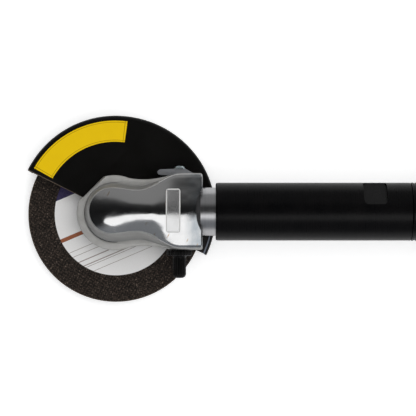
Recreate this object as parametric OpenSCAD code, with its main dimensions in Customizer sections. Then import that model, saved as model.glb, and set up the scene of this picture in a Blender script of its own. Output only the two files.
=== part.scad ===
// Pneumatic cut off tool: an angle head with a guarded cutting wheel on a long round barrel,
// an air motor in the barrel, and a rear handle with a throttle lever and an air inlet.
// The origin is on the wheel's axis, on the flat end of the wheel bolt. +X runs back along the
// handle, +Z from the wheel up through the head, and all sizes are in millimetres.

/* [Cutting wheel] */
// Outside diameter of the cutting wheel
wheel_d = 101.6; // [90:0.2:104]
// Thickness of the cutting wheel
wheel_t = 1.6; // [1:0.1:2.4]
// Arbor hole in the wheel's bushing
arbor_d = 9.54; // [9.2:0.02:10.4]
// Outside diameter of the wheel's steel bushing
bushing_d = 14; // [12:0.5:18]
// Diameter of the paper label
label_d = 71; // [50:1:80]
// Thickness of the paper label
label_t = 0.15; // [0.1:0.05:0.3]

/* [Wheel fastening] */
// Diameter of the two wheel flanges
flange_d = 28; // [24:0.5:34]
// Thickness of the outer flange
outer_flange_t = 3; // [2:0.1:4]
// Thickness of the inner flange
inner_flange_t = 4; // [3:0.1:5]
// Shank diameter of the wheel bolt
bolt_d = 6.2; // [5:0.1:7]
// Width across flats of the bolt head
bolt_af = 11; // [9:0.5:13]
// Height of the bolt head
bolt_head_h = 4.5; // [3:0.1:6]
// Diameter of the bolt's washer face
bolt_flange_d = 16; // [14:0.5:20]
// Thickness of the bolt's washer face
bolt_flange_t = 1.5; // [1:0.1:2.5]

/* [Guard] */
// Sheet thickness of the guard
guard_t = 1.5; // [1:0.1:2]
// Gap between the wheel's edge and the guard's wall
guard_gap = 3.7; // [2.5:0.1:6]
// Gap between the wheel's upper face and the guard's plate
guard_clear = 11.4; // [10.8:0.1:12]
// Depth of the guard, from the plate's top to the wall's lower edge
guard_depth = 20; // [16:0.5:21]
// Outside radius of the bend between plate and wall
guard_bend = 2.5; // [2:0.1:4]
// Angle from +X where the guard starts
guard_start = -24.6; // [-26:0.2:-10]
// Angle that the guard covers
guard_arc = 178.6; // [150:0.2:180]
// Wall of the guard's upright collar
guard_collar_t = 1.2; // [1:0.05:1.4]
// Radial width of the blank yellow decal on the guard
decal_w = 12.1; // [8:0.1:16]
// Thickness of the decal
decal_t = 0.12; // [0.1:0.02:0.3]

/* [Angle head] */
// Height of the handle's axis above the wheel's upper face
axis_h = 31.4; // [31:0.1:33]
// Radius of the head's round foot
foot_r = 21.3; // [20.5:0.1:23]
// Half width of the clamp's foot at its waist
waist_hw = 18.8; // [18.4:0.1:20]
// Half width of the rear shoulder
shoulder_hw = 21; // [20:0.1:22]
// Length of the head from the wheel's axis to its rear face
head_len = 50.1; // [49:0.1:54]
// Length of the rear shoulder
shoulder_len = 20.6; // [19:0.1:22]
// Height of the round dome above the handle's axis
dome_h = 17.5; // [17:0.1:20]
// Height of the waist above the handle's axis
waist_h = 16.6; // [15.6:0.1:19]
// Height of the rear shoulder above the handle's axis
shoulder_h = 15.5; // [15:0.1:18]
// Radius of the dome
dome_r = 12.8; // [12.6:0.1:14]
// Radius of the dome at its foot
dome_foot_r = 16.4; // [15.8:0.1:17]
// Half width of the waist
neck_hw = 11.5; // [11.2:0.1:12.4]
// Half width of the waist at its foot
neck_foot_hw = 15.2; // [14.6:0.1:16.4]
// How square the dome's section is (2 is an ellipse)
dome_square = 3.4; // [2.4:0.1:4]
// How square the waist's section is
neck_square = 2.4; // [2:0.1:3]
// How square the shoulder's section is
shoulder_square = 3.2; // [2.6:0.1:4]
// Length of the blank plate on the shoulder
plate_len = 8; // [6:0.1:9]
// Half width of the blank plate across the shoulder
plate_hw = 12.2; // [9:0.1:13]
// Thickness of the blank plate
plate_t = 0.3; // [0.2:0.05:0.5]

/* [Guard clamp] */
// Height of the clamp
clamp_h = 6.6; // [6:0.1:7]
// Distance of the clamp screw from the head's rear face
clamp_screw_inset = 13.2; // [10:0.1:15]
// Shank diameter of the clamp screw
clamp_screw_d = 4; // [3:0.1:4.2]
// Length of the clamp bar
clamp_bar_len = 21; // [16:0.5:24]
// Thickness of the clamp bar
clamp_bar_t = 5.4; // [4:0.1:6]
// Diameter of the lock knob's knurled flange
knob_flange_d = 14.4; // [12:0.2:16]
// Thickness of the lock knob's knurled flange
knob_flange_t = 3.2; // [2.5:0.1:5]
// Diameter of the lock knob's grip
knob_d = 7.6; // [7:0.1:9]
// Length of the lock knob's grip
knob_len = 12.6; // [9:0.1:16]

/* [Bearings] */
// Outside diameter of the lower spindle bearing
low_bearing_d = 26; // [25.6:0.1:26.4]
// Bore of the lower spindle bearing
low_bearing_bore = 10; // [9.6:0.1:11]
// Width of the lower spindle bearing
low_bearing_w = 8; // [7:0.1:8.6]
// Outside diameter of the upper spindle bearing
top_bearing_d = 16; // [15.6:0.1:16.4]
// Bore of the upper spindle bearing
top_bearing_bore = 8; // [7.4:0.1:8.6]
// Width of the upper spindle bearing
top_bearing_w = 5; // [4:0.1:5.6]
// Outside diameter of the two pinion bearings
pinion_bearing_d = 19; // [18.4:0.1:19.4]
// Bore of the two pinion bearings
pinion_bearing_bore = 8; // [7.6:0.1:8.6]
// Width of the two pinion bearings
pinion_bearing_w = 6; // [5:0.1:7]
// Outside diameter of the two motor bearings
motor_bearing_d = 19; // [18:0.1:20]
// Bore of the two motor bearings
motor_bearing_bore = 8; // [7:0.1:9]
// Width of the two motor bearings
motor_bearing_w = 6; // [5:0.1:7]

/* [Bevel gears] */
// Tooth module
tooth_module = 1; // [0.98:0.01:1.02]
// Teeth of the gear on the spindle
gear_teeth = 21; // [21:1:21]
// Teeth of the motor's pinion
pinion_teeth = 15; // [15:1:15]
// Length of the teeth along the cone
tooth_face = 4.2; // [3:0.1:4.6]
// Play between the teeth
tooth_play = 0.14; // [0.1:0.01:0.3]

/* [Barrel] */
// Outside diameter of the barrel
barrel_d = 32.4; // [31:0.1:34]
// Length of the barrel
barrel_len = 108.3; // [104:0.1:116]
// Bore of the barrel round the motor
barrel_bore = 27.2; // [26.6:0.1:27.8]
// Bore of the barrel's rear end
barrel_rear_bore = 23; // [20:0.1:23.6]
// Visible length of the steel collar between head and barrel
collar_show = 8.1; // [6:0.1:12]
// Outside diameter of the steel collar
collar_d = 27; // [25:0.1:28]
// Depth of the wrench flats
flat_depth = 2.7; // [1:0.1:3]
// Length of the wrench flats
flat_len = 11.6; // [9:0.1:13]
// Place of the wrench flats along the barrel, from its front end
flat_at = 89; // [84:0.1:92]
// Direction of the first wrench flat, from straight up towards +Y
flat_angle = 50; // [0:1:90]

/* [Motor] */
// Outside diameter of the motor's cylinder
cylinder_d = 27; // [26:0.1:27.4]
// Bore of the motor's cylinder
cylinder_bore = 23; // [22.4:0.1:23.4]
// Length of the motor's cylinder
cylinder_len = 46; // [40:0.1:48]
// Thickness of each end plate
end_plate_t = 9; // [8:0.1:10]
// Outside diameter of the rotor
rotor_d = 19.6; // [18:0.1:20]
// Number of vanes
vane_count = 5; // [4:1:6]
// Thickness of a vane
vane_t = 1.6; // [1:0.1:2]
// Depth of a vane
vane_depth = 5; // [3:0.1:5.6]
// Outside diameter of the coupling sleeve
coupling_d = 13; // [10:0.1:14]

/* [Handle] */
// Length of the ribbed union nut
nut_len = 11.2; // [9:0.1:14]
// Number of grooves round the union nut
nut_grooves = 5; // [3:1:6]
// Length of the handle's body
handle_len = 78; // [76:0.5:90]
// Diameter of the handle's body at its widest
handle_d = 35.2; // [34:0.1:38]
// Diameter of the handle's stub inside the barrel
stub_d = 22.8; // [20:0.1:22.9]
// Number of grip grooves round the handle
grip_grooves = 8; // [4:1:9]
// Spacing of the grip grooves
grip_pitch = 5; // [4:0.1:6]
// Depth of the grip grooves
grip_depth = 0.9; // [0.5:0.1:1.2]

/* [Throttle] */
// Distance of the lever's pivot behind the throttle pin
pin_reach = 13; // [11:0.1:15]
// Distance of the lever's pivot from the handle's rear end
pivot_inset = 8; // [7:0.1:12]
// Height of the lever's pivot above the handle's axis
pivot_h = 20; // [19:0.1:22]
// Length of the lever in front of its pivot
lever_len = 64; // [58:0.5:66]
// Width of the lever
lever_w = 14; // [13:0.1:16]
// Sheet thickness of the lever
lever_t = 1.6; // [1.2:0.1:2]
// Depth of the lever's side walls
lever_side = 6; // [5:0.1:7]
// Slope of the lever at rest
lever_slope = 5; // [3:0.5:6]
// Diameter of the pivot pin
pivot_pin_d = 3; // [2.5:0.1:3.6]
// Diameter of the throttle pin
throttle_pin_d = 4; // [3:0.1:5]
// Diameter of the valve ball
valve_ball_d = 7.2; // [6:0.1:8]
// Bore of the valve's chamber
valve_bore = 11; // [9.6:0.1:12]
// Wire diameter of the valve spring
spring_wire = 0.7; // [0.5:0.05:1]
// Turns of the valve spring
spring_turns = 5; // [3:1:7]
// Diameter of the air regulator's stem
regulator_d = 9; // [7:0.1:10]

/* [Air inlet and exhaust] */
// Length of the exhaust deflector
deflector_len = 14; // [12:0.1:18]
// Wall of the exhaust deflector
deflector_wall = 2.8; // [2:0.1:3.5]
// Number of exhaust holes in the deflector
exhaust_holes = 9; // [5:1:11]
// Diameter of the inlet bushing's body
inlet_d = 17; // [16:0.1:18]
// Width across flats of the inlet bushing's hexagon
inlet_af = 22; // [20:0.5:24]
// Length of the inlet bushing's hexagon
inlet_hex_len = 14; // [13.5:0.1:18]
// Diameter of the inlet's threaded hole
inlet_hole_d = 11.4; // [11:0.05:12]
// Depth of the inlet's threaded hole
inlet_depth = 13; // [11:0.1:13.2]

/* [Fits] */
// Radial gap of a seat that doesn't turn
seat_gap = 0.02; // [0.01:0.01:0.04]
// Radial gap of a running fit
run_gap = 0.05; // [0.03:0.01:0.08]
// Axial gap between a turning face and its neighbour
side_gap = 0.4; // [0.3:0.05:0.5]

/* [Hidden] */
$fn = 48;
// Sides of the round seats in the head, fine enough that a flat side doesn't bite into a bearing
seat_steps = 120;

// Heights up the wheel's axis
wheel_z = bolt_head_h + bolt_flange_t + outer_flange_t;
wheel_top = wheel_z + wheel_t;
spindle_shoulder_z = wheel_top + inner_flange_t;
plate_z = wheel_top + guard_clear;
guard_top = plate_z + guard_t;
axis_z = wheel_top + axis_h;

// Neck, guard collar and clamp, one round the other
neck_wall = 2.5;
neck_r = low_bearing_d / 2 + neck_wall;
collar_in_r = neck_r + run_gap;
collar_out_r = collar_in_r + guard_collar_t;
clamp_in_r = collar_out_r + run_gap + 0.03;
clamp_z = guard_top + side_gap;
clamp_top = clamp_z + clamp_h;
head_floor = clamp_top + 0.3;
groove_top = head_floor - 0.2;
collar_top = groove_top - side_gap;
prong_in = clamp_in_r - 1.5;
keel_hw = prong_in - 0.1;
keel_x = clamp_in_r + 0.2;
clamp_screw_z = clamp_z + 3.7;
neck_z = spindle_shoulder_z + 1.9;
cap_lip = 1.5;
cap_z = neck_z - cap_lip;
retainer_t = 1.2;
retainer_z = plate_z - retainer_t - 0.2;
retainer_in_r = neck_r - 0.6;

// Guard
guard_in_r = wheel_d / 2 + guard_gap;
guard_r = guard_in_r + guard_t;
guard_hub_r = foot_r - 0.9;
decal_r = guard_r - guard_bend - decal_w - 0.6;
decal_from = 82.3;
decal_to = guard_start + guard_arc - 3;

// Bevel gears: both cones meet on the wheel's axis at the handle's height
pinion_pitch_r = tooth_module * pinion_teeth / 2;
gear_pitch_r = tooth_module * gear_teeth / 2;
cone_far = norm([pinion_pitch_r, gear_pitch_r]);
cone_near = cone_far - tooth_face;
root_far = cone_far + 0.15;
root_near = cone_near - 0.15;
tooth_drop = atan(1.25 * tooth_module / cone_far);
gear_cone = atan(gear_teeth / pinion_teeth);
pinion_cone = 90 - gear_cone;
pinion_turn = 180 / pinion_teeth;

// Spindle and its bearings
low_bearing_z = neck_z + 3;
low_bearing_top = low_bearing_z + low_bearing_w;
top_bearing_z = axis_z + 7.3;
shoulder_x = head_len - shoulder_len;
clamp_screw_x = head_len - clamp_screw_inset;

gear_seat_d = low_bearing_bore - 0.4;
gear_root_far_z = axis_z - root_far * cos(gear_cone - tooth_drop);
gear_root_near_z = axis_z - root_near * cos(gear_cone - tooth_drop);
gear_root_far_r = root_far * sin(gear_cone - tooth_drop);
gear_root_near_r = root_near * sin(gear_cone - tooth_drop);
chamber_r = gear_pitch_r + 1.3;
crease_z = axis_z - 2;
crown_steps = 11;
chamber_z = low_bearing_top;
key_w = 2;
key_len = 4.4;

// Pinion shaft and the bore of the head
pinion_back_x = root_far * cos(pinion_cone - tooth_drop);
pinion_root_far_r = root_far * sin(pinion_cone - tooth_drop);
pinion_root_near_r = root_near * sin(pinion_cone - tooth_drop);
pinion_front_x = root_near * cos(pinion_cone - tooth_drop);
shaft_end_d = 7;
coupling_len = 20;
coupling_x = head_len - 7;
collar_x = head_len - 6;
pinion_bearing_x = [pinion_back_x + 3.3, collar_x - 4.1 - pinion_bearing_w];
scoop_x = collar_x + 0.9;

// Barrel and motor, from the collar's rear end to the barrel's inner shoulder
barrel_x = head_len + collar_show;
barrel_end = barrel_x + barrel_len;
collar_thread_len = 7.5;
motor_x = barrel_x + collar_thread_len;
cylinder_x = motor_x + end_plate_t;
rear_plate_x = cylinder_x + cylinder_len;
washer_x = rear_plate_x + end_plate_t;
washer_t = 1.2;
motor_end = washer_x + washer_t;
rotor_gap = 0.1;
port_r = 1.6;
cylinder_shift = cylinder_bore / 2 - rotor_d / 2 - 0.1;
motor_bearing_x = [motor_x + 1.5, rear_plate_x + end_plate_t - motor_bearing_w - 1.5];

// Handle, rear end and lever
nut_x = barrel_end + 0.1;
handle_x = nut_x + nut_len + 0.1;
handle_end = handle_x + handle_len;
pivot_x = handle_end - pivot_inset;
pivot_z = axis_z + pivot_h;
pin_x = pivot_x - pin_reach;
handle_flat_h = handle_d / 2 - 3.6;
lug_hw = lever_w / 2 - lever_t - 0.4;
lug_r = 3.4;
seat_z = axis_z + 1;
seat_t = 2;
seat_hole_r = 2.9;
ball_z = seat_z - sqrt(pow(valve_ball_d / 2, 2) - pow(seat_hole_r, 2)) - 0.05;
plug_t = 2.6;
plug_z = axis_z - handle_d / 2 + 0.5;
spring_z = plug_z + plug_t;
lever_under = pivot_h + 1.4;
latch_x = pivot_x - lever_len + 12;
latch_z = axis_z + lever_under + (pivot_x - latch_x) * tan(lever_slope) - 2.6;
latch_pin_d = 2;
latch_hw = lug_hw - 0.5;
toe_len = latch_z - axis_z - handle_flat_h - 2.45;
latch_ledge = latch_x + 0.4;
pocket_len = 11;
pocket_depth = 5;
regulator_x = handle_x + 24;
passage_h = 4.5;
stub_x = washer_x + 0.3;
exhaust_r = 1.5;
exhaust_at = [8.2, -4.8];
exhaust_x = motor_end + 3;
exhaust_ring_len = 6;
drain_r = 1.9;
deflector_x = handle_end + 0.2;
deflector_r = handle_d / 2 - 0.2;
deflector_end = deflector_x + deflector_len;
inlet_x = deflector_end + 0.2;
inlet_end = inlet_x + inlet_hex_len;
inlet_start = handle_end - 14;

// Puts what is drawn along +Z on the handle's axis, starting at x
module along_x(x) translate([x, 0, axis_z]) rotate([0, 90, 0]) children();

// A plain or stepped ring standing on z = 0
module ring(h, out_r, in_r) {
    difference() {
        cylinder(h = h, r = out_r);
        translate([0, 0, -1]) cylinder(h = h + 2, r = in_r);
    }
}

// A ring with round outer edges
module soft_ring(h, out_r, in_r, edge) {
    rotate_extrude() difference() {
        union() {
            translate([in_r, edge]) square([out_r - in_r, h - 2 * edge]);
            translate([in_r, 0]) square([out_r - in_r - edge, h]);
            for (y = [edge, h - edge]) translate([out_r - edge, y]) circle(r = edge);
        }
    }
}

// Ball bearings, with grooves that clear the balls
function ball_r(d, bore) = 0.145 * (d - bore);
function ball_path(d, bore) = (d + bore) / 4;
module groove(d, bore, w) {
    translate([0, 0, w / 2]) rotate_extrude()
        translate([ball_path(d, bore), 0]) circle(r = ball_r(d, bore) + 0.04);
}
module outer_race(d, bore, w) {
    difference() {
        ring(w, d / 2, d / 2 - 0.15 * (d - bore));
        groove(d, bore, w);
    }
}
module inner_race(d, bore, w) {
    difference() {
        ring(w, bore / 2 + 0.15 * (d - bore), bore / 2 + seat_gap);
        groove(d, bore, w);
    }
}
module balls(d, bore, w, count) {
    for (i = [0 : count - 1]) rotate(i * 360 / count)
        translate([ball_path(d, bore), 0, w / 2]) sphere(r = ball_r(d, bore), $fn = 32);
}

// Half width of a tooth flank at height u above the pitch line, after an involute of 20 degrees
function flank(u, virtual_r) = let (
        v = max(u, -0.06 * virtual_r),
        curve = virtual_r * sin(20)
    ) PI * tooth_module / 4 - tooth_play / 2 - v * tan(20) - v * v / (2 * curve);

// One tooth's outline as pairs of cone angle and turn about the gear's axis
function tooth_outline(cone, pitch_r, teeth, i) = let (
        virtual_r = pitch_r / cos(cone),
        heights = [-1.5, -0.55, 0, 0.55, 1] * tooth_module,
        mid = i * 360 / teeth,
        turns = [for (u = heights) flank(u, virtual_r) / (pitch_r + u * cos(cone)) * 180 / PI],
        angles = [for (u = heights) cone + atan(u / cone_far)]
    ) concat(
        [for (k = [0 : 4]) [angles[k], mid - turns[k]]],
        [for (k = [4 : -1 : 0]) [angles[k], mid + turns[k]]]
    );

function on_sphere(r, cone, turn) = [r * sin(cone) * cos(turn), r * sin(cone) * sin(turn), r * cos(cone)];

// A closed band of bevel teeth round +Z, with its cone's tip at the origin. The bottoms of its
// gaps and its inner side lie inside the root cone, where the gear's body covers them.
module bevel_teeth(cone, pitch_r, teeth) {
    outline = [for (i = [0 : teeth - 1]) each tooth_outline(cone, pitch_r, teeth, i)];
    n = len(outline);
    inside = cone - tooth_drop - 5;
    points = concat(
        [for (p = outline) on_sphere(cone_far, p[0], p[1])],
        [for (p = outline) on_sphere(cone_near, p[0], p[1])],
        [for (p = outline) on_sphere(cone_near, inside, p[1])],
        [for (p = outline) on_sphere(cone_far, inside, p[1])]
    );
    faces = [
        for (ring_i = [0 : 3]) for (i = [0 : n - 1]) let (
            j = (i + 1) % n,
            a = ring_i * n,
            b = (ring_i + 1) % 4 * n
        ) each [[a + i, a + j, b + j], [a + i, b + j, b + i]]
    ];
    polyhedron(points = points, faces = faces, convexity = 10);
}

// A round wire wound as a helix round +Z, from z = 0 to z = length between its own centres
module coil(mean_r, wire_r, length, turns) {
    sides = 6;
    steps = 14 * turns;
    points = [
        for (s = [0 : steps]) for (k = [0 : sides - 1]) let (
            turn = 360 * turns * s / steps,
            r = mean_r + wire_r * cos(360 * k / sides)
        ) [r * cos(turn), r * sin(turn), length * s / steps + wire_r * sin(360 * k / sides)]
    ];
    sides_faces = [
        for (s = [0 : steps - 1]) for (k = [0 : sides - 1]) let (
            a = s * sides + k,
            b = s * sides + (k + 1) % sides
        ) each [[a, a + sides, b + sides], [a, b + sides, b]]
    ];
    start_faces = [for (k = [1 : sides - 2]) [0, k, k + 1]];
    end_faces = [for (k = [1 : sides - 2]) [0, k + 1, k] + [1, 1, 1] * steps * sides];
    polyhedron(points = points, faces = concat(sides_faces, start_faces, end_faces), convexity = 10);
}

// Eases from 0 to 1 without a kink at either end
function ease(t) = let (u = max(0, min(1, t))) u * u * (3 - 2 * u);

// A size that runs along the head from its dome through its waist to its shoulder
function along_head(x, dome, waist, rear, waist_at, rear_at) = x < waist_at
    ? dome + (waist - dome) * ease(x / waist_at)
    : waist + (rear - waist) * ease((x - waist_at) / (rear_at - waist_at));
function crown_hw(x) = along_head(x, dome_r, neck_hw, shoulder_hw, shoulder_x - 14.5, shoulder_x + 6.5);
function crown_top(x) = axis_z + along_head(x, dome_h, waist_h, shoulder_h, shoulder_x - 14.5, shoulder_x + 4);
function crown_square(x) =
    along_head(x, dome_square, neck_square, shoulder_square, shoulder_x - 14.5, shoulder_x + 2);
function crown_foot(x) =
    along_head(x, dome_foot_r, neck_foot_hw, shoulder_hw - 0.2, shoulder_x - 13.5, shoulder_x + 8.5);

// The crown's height over a point of the head
function crown_z(x, y) = let (n = crown_square(x)) crease_z
    + (crown_top(x) - crease_z) * pow(1 - pow(abs(y) / crown_hw(x), n), 1 / n);

// One side of the head's section: its foot, then the crown from the crease up, without the ridge
function half_section(x) = let (n = crown_square(x)) concat(
    [[crown_foot(x), head_floor], [crown_foot(x), head_floor + 2]],
    [for (i = [0 : crown_steps - 1]) let (a = i * 90 / crown_steps)
        [crown_hw(x) * pow(cos(a), 2 / n), crease_z + (crown_top(x) - crease_z) * pow(sin(a), 2 / n)]]
);

// The head's outer form in one closed skin: round the dome, then back along both sides
module head_form() {
    stations = 17;
    round_steps = 20;
    xs = [for (i = [0 : stations]) head_len * i / stations];
    columns = concat(
        [for (i = [stations : -1 : 0]) [for (p = half_section(xs[i])) [xs[i], -p[0], p[1]]]],
        [for (j = [1 : round_steps - 1]) let (a = 270 - 180 * j / round_steps)
            [for (p = half_section(0)) [p[0] * cos(a), p[0] * sin(a), p[1]]]],
        [for (i = [0 : stations]) [for (p = half_section(xs[i])) [xs[i], p[0], p[1]]]]
    );
    rows = len(columns[0]);
    last = len(columns) - 1;
    ridge = (last + 1) * rows;
    points = concat([for (c = columns) each c], [for (x = xs) [x, 0, crown_top(x)]]);
    ridge_of = [for (c = [0 : last]) ridge + max(0, max(stations - c, c - last + stations))];
    skin = [for (c = [0 : last - 1]) for (r = [0 : rows - 2]) let (p = c * rows + r)
        each [[p, p + rows + 1, p + 1], [p, p + rows, p + rows + 1]]];
    cap = [for (c = [0 : last - 1]) let (p = (c + 1) * rows - 1)
        each ridge_of[c] == ridge_of[c + 1] ? [[p, p + rows, ridge_of[c]]]
            : [[p, ridge_of[c + 1], ridge_of[c]], [p, p + rows, ridge_of[c + 1]]]];
    foot = [[for (c = [last : -1 : 0]) c * rows]];
    rear = [concat(
        [for (r = [0 : rows - 1]) r],
        [ridge_of[last]],
        [for (r = [rows - 1 : -1 : 0]) last * rows + r]
    )];
    polyhedron(points = points, faces = concat(skin, cap, foot, rear), convexity = 8);
}

module angle_head() {
    color("#c9cbce") difference() {
        union() {
            head_form();
            translate([0, 0, neck_z]) cylinder(h = head_floor + 0.5 - neck_z, r = neck_r);
            difference() {
                translate([4, -keel_hw, clamp_z + 0.3]) cube([head_len - 4, 2 * keel_hw, clamp_h + 2]);
                translate([0, 0, clamp_z - 1]) cylinder(h = groove_top - clamp_z + 1, r = keel_x);
            }
        }
        translate([0, 0, neck_z - 1])
            cylinder(h = low_bearing_top - neck_z + 1, r = low_bearing_d / 2 + seat_gap, $fn = seat_steps);
        translate([0, 0, chamber_z - 1]) cylinder(h = axis_z + 1.6 - chamber_z, r = chamber_r);
        translate([0, 0, axis_z])
            cylinder(h = top_bearing_z + top_bearing_w - axis_z, r = top_bearing_d / 2 + seat_gap, $fn = seat_steps);
        along_x(6) cylinder(h = head_len, r = pinion_bearing_d / 2 + seat_gap, $fn = seat_steps);
        along_x(collar_x) cylinder(h = 20, r = collar_d / 2 + seat_gap, $fn = seat_steps);
        along_x(scoop_x) cylinder(h = head_len - scoop_x + 1, r1 = collar_d / 2 + 0.1, r2 = collar_d / 2 + 4.6);
        translate([clamp_screw_x, -40, clamp_screw_z]) rotate([-90, 0, 0])
            cylinder(h = 80, r = clamp_screw_d / 2 + 0.1);
        translate([0, 0, retainer_z - 0.05]) ring(retainer_t + 0.1, neck_r + 1, retainer_in_r);
    }
}

// A thin blank plate that follows the shoulder
module head_plate() {
    steps = 12;
    start = shoulder_x + 0.4;
    grid = [for (i = [0 : steps]) for (j = [0 : steps])
        let (x = start + plate_len * i / steps, y = plate_hw * (2 * j / steps - 1))
        [x, y, crown_z(x, y) + 0.02]];
    n = steps + 1;
    top = n * n;
    points = concat(grid, [for (p = grid) p + [0, 0, plate_t]]);
    quads = [for (i = [0 : steps - 1]) for (j = [0 : steps - 1]) i * n + j];
    edge = concat([for (j = [0 : steps]) j], [for (i = [1 : steps]) i * n + steps],
        [for (j = [steps - 1 : -1 : 0]) steps * n + j], [for (i = [steps - 1 : -1 : 1]) i * n]);
    m = len(edge);
    color("#d9dadb") polyhedron(points = points, convexity = 4, faces = concat(
        [for (q = quads) each [[q, q + n, q + n + 1], [q, q + n + 1, q + 1]]],
        [for (q = quads) each [[q + top, q + top + n + 1, q + top + n], [q + top, q + top + 1, q + top + n + 1]]],
        [for (k = [0 : m - 1]) let (a = edge[k], b = edge[(k + 1) % m]) each [[a, b, b + top], [a, b + top, a + top]]]
    ));
}

// The clamp's outline: a round front, a waist and a rear as wide as the shoulder
module clamp_outline() {
    circle(r = foot_r);
    translate([0, -waist_hw]) square([shoulder_x + 4, 2 * waist_hw]);
    hull() for (side = [-1, 1]) {
        translate([shoulder_x + 2, side * (shoulder_hw - 3)]) circle(r = 3, $fn = 32);
        translate([head_len - 1, side * (shoulder_hw - 1)]) circle(r = 1, $fn = 32);
    }
}

module guard_clamp() {
    color("#a9abad") difference() {
        translate([0, 0, clamp_z]) linear_extrude(clamp_h) clamp_outline();
        translate([0, 0, clamp_z - 1]) cylinder(h = clamp_h + 2, r = clamp_in_r);
        translate([0, -prong_in, clamp_z - 1]) cube([head_len + 1, 2 * prong_in, clamp_h + 2]);
        translate([clamp_screw_x, -40, clamp_screw_z]) rotate([-90, 0, 0])
            cylinder(h = 80, r = clamp_screw_d / 2 + 0.1);
    }
}

module clamp_bar() {
    bar_front = clamp_screw_x - clamp_bar_len * 0.6;
    color("#c4c6c9") difference() {
        hull() {
            translate([bar_front + 2.4, shoulder_hw + clamp_bar_t / 2 + 0.1, clamp_z + 0.4])
                cylinder(h = clamp_h - 1, r = 2.3, $fn = 32);
            translate([bar_front + 9, shoulder_hw + 0.1, clamp_z + 0.4])
                cube([clamp_bar_len - 14, clamp_bar_t, clamp_h - 1]);
            translate([bar_front + clamp_bar_len - 1, shoulder_hw + 1.1, clamp_z + 0.4])
                cylinder(h = clamp_h - 1, r = 1, $fn = 32);
        }
        translate([clamp_screw_x, shoulder_hw - 1, clamp_screw_z]) rotate([-90, 0, 0])
            cylinder(h = 10, r = clamp_screw_d / 2 + 0.1);
    }
}

module clamp_screw() {
    head_y = shoulder_hw + clamp_bar_t + 0.1;
    color("#cfe0e6") translate([clamp_screw_x, head_y, clamp_screw_z]) rotate([90, 0, 0]) {
        cylinder(h = head_y + shoulder_hw + knob_flange_t + 6, r = clamp_screw_d / 2);
        translate([0, 0, -1.6]) cylinder(h = 1.6, r1 = 2.6, r2 = 3.6);
    }
}

module guard_retaining_ring() {
    color("#3a3b3d") translate([0, 0, retainer_z]) difference() {
        ring(retainer_t, neck_r + 1.8, retainer_in_r + seat_gap);
        translate([-1.5, 0, -1]) cube([3, 30, retainer_t + 2]);
    }
}

module bearing_cap() {
    color("#b5b7ba") translate([0, 0, cap_z]) {
        difference() {
            union() {
                cylinder(h = cap_lip, r = neck_r - 0.3);
                cylinder(h = low_bearing_z - cap_z, r = low_bearing_d / 2 - 0.01);
            }
            translate([0, 0, -1]) cylinder(h = 9, r = low_bearing_bore / 2 + 4);
            for (i = [0 : 3]) rotate(45 + i * 90)
                translate([neck_r - 3.2, 0, -1]) cylinder(h = 2.5, r = 1);
        }
    }
}

module spindle_seal() {
    color("#4b4a45") translate([0, 0, cap_z + 0.8])
        ring(2.6, low_bearing_bore / 2 + 4 - seat_gap, low_bearing_bore / 2 + 1.9 + run_gap);
}

module low_bearing_outer() {
    color("#b9bcc0") translate([0, 0, low_bearing_z]) outer_race(low_bearing_d, low_bearing_bore, low_bearing_w);
}
module low_bearing_inner() {
    color("#b9bcc0") translate([0, 0, low_bearing_z]) inner_race(low_bearing_d, low_bearing_bore, low_bearing_w);
}
module top_bearing_outer() {
    color("#b9bcc0") translate([0, 0, top_bearing_z]) outer_race(top_bearing_d, top_bearing_bore, top_bearing_w);
}
module top_bearing_inner() {
    color("#b9bcc0") translate([0, 0, top_bearing_z]) inner_race(top_bearing_d, top_bearing_bore, top_bearing_w);
}
module pinion_bearing_outers() {
    color("#b9bcc0") for (x = pinion_bearing_x)
        along_x(x) outer_race(pinion_bearing_d, pinion_bearing_bore, pinion_bearing_w);
}
module pinion_bearing_inners() {
    color("#b9bcc0") for (x = pinion_bearing_x)
        along_x(x) inner_race(pinion_bearing_d, pinion_bearing_bore, pinion_bearing_w);
}
module motor_bearing_outers() {
    color("#b9bcc0") for (x = motor_bearing_x)
        along_x(x) outer_race(motor_bearing_d, motor_bearing_bore, motor_bearing_w);
}
module motor_bearing_inners() {
    color("#b9bcc0") for (x = motor_bearing_x)
        along_x(x) inner_race(motor_bearing_d, motor_bearing_bore, motor_bearing_w);
}
module bearing_balls() {
    color("#dfe2e6") {
        translate([0, 0, low_bearing_z]) balls(low_bearing_d, low_bearing_bore, low_bearing_w, 9);
        translate([0, 0, top_bearing_z]) balls(top_bearing_d, top_bearing_bore, top_bearing_w, 8);
        for (x = pinion_bearing_x)
            along_x(x) balls(pinion_bearing_d, pinion_bearing_bore, pinion_bearing_w, 9);
        for (x = motor_bearing_x)
            along_x(x) balls(motor_bearing_d, motor_bearing_bore, motor_bearing_w, 8);
    }
}

module spindle() {
    top = top_bearing_z + top_bearing_w;
    color("#8f9296") difference() {
        union() {
            translate([0, 0, wheel_top + 0.8])
                cylinder(h = spindle_shoulder_z - wheel_top, r = low_bearing_bore / 2 - seat_gap);
            translate([0, 0, spindle_shoulder_z])
                cylinder(h = low_bearing_z - spindle_shoulder_z, r = low_bearing_bore / 2 + 1.9);
            translate([0, 0, low_bearing_z - 1])
                cylinder(h = low_bearing_w + 1, r = low_bearing_bore / 2);
            translate([0, 0, low_bearing_top - 1])
                cylinder(h = gear_root_near_z + 1.2 - low_bearing_top, r = gear_seat_d / 2 - seat_gap);
            translate([0, 0, gear_root_near_z - 1])
                cylinder(h = top - gear_root_near_z + 1, r = top_bearing_bore / 2);
        }
        cylinder(h = low_bearing_top, r = bolt_d / 2 + 0.05);
        translate([gear_seat_d / 2 - 1.2, -key_w / 2, low_bearing_top + 1.4])
            cube([3, key_w, key_len]);
    }
}

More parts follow.
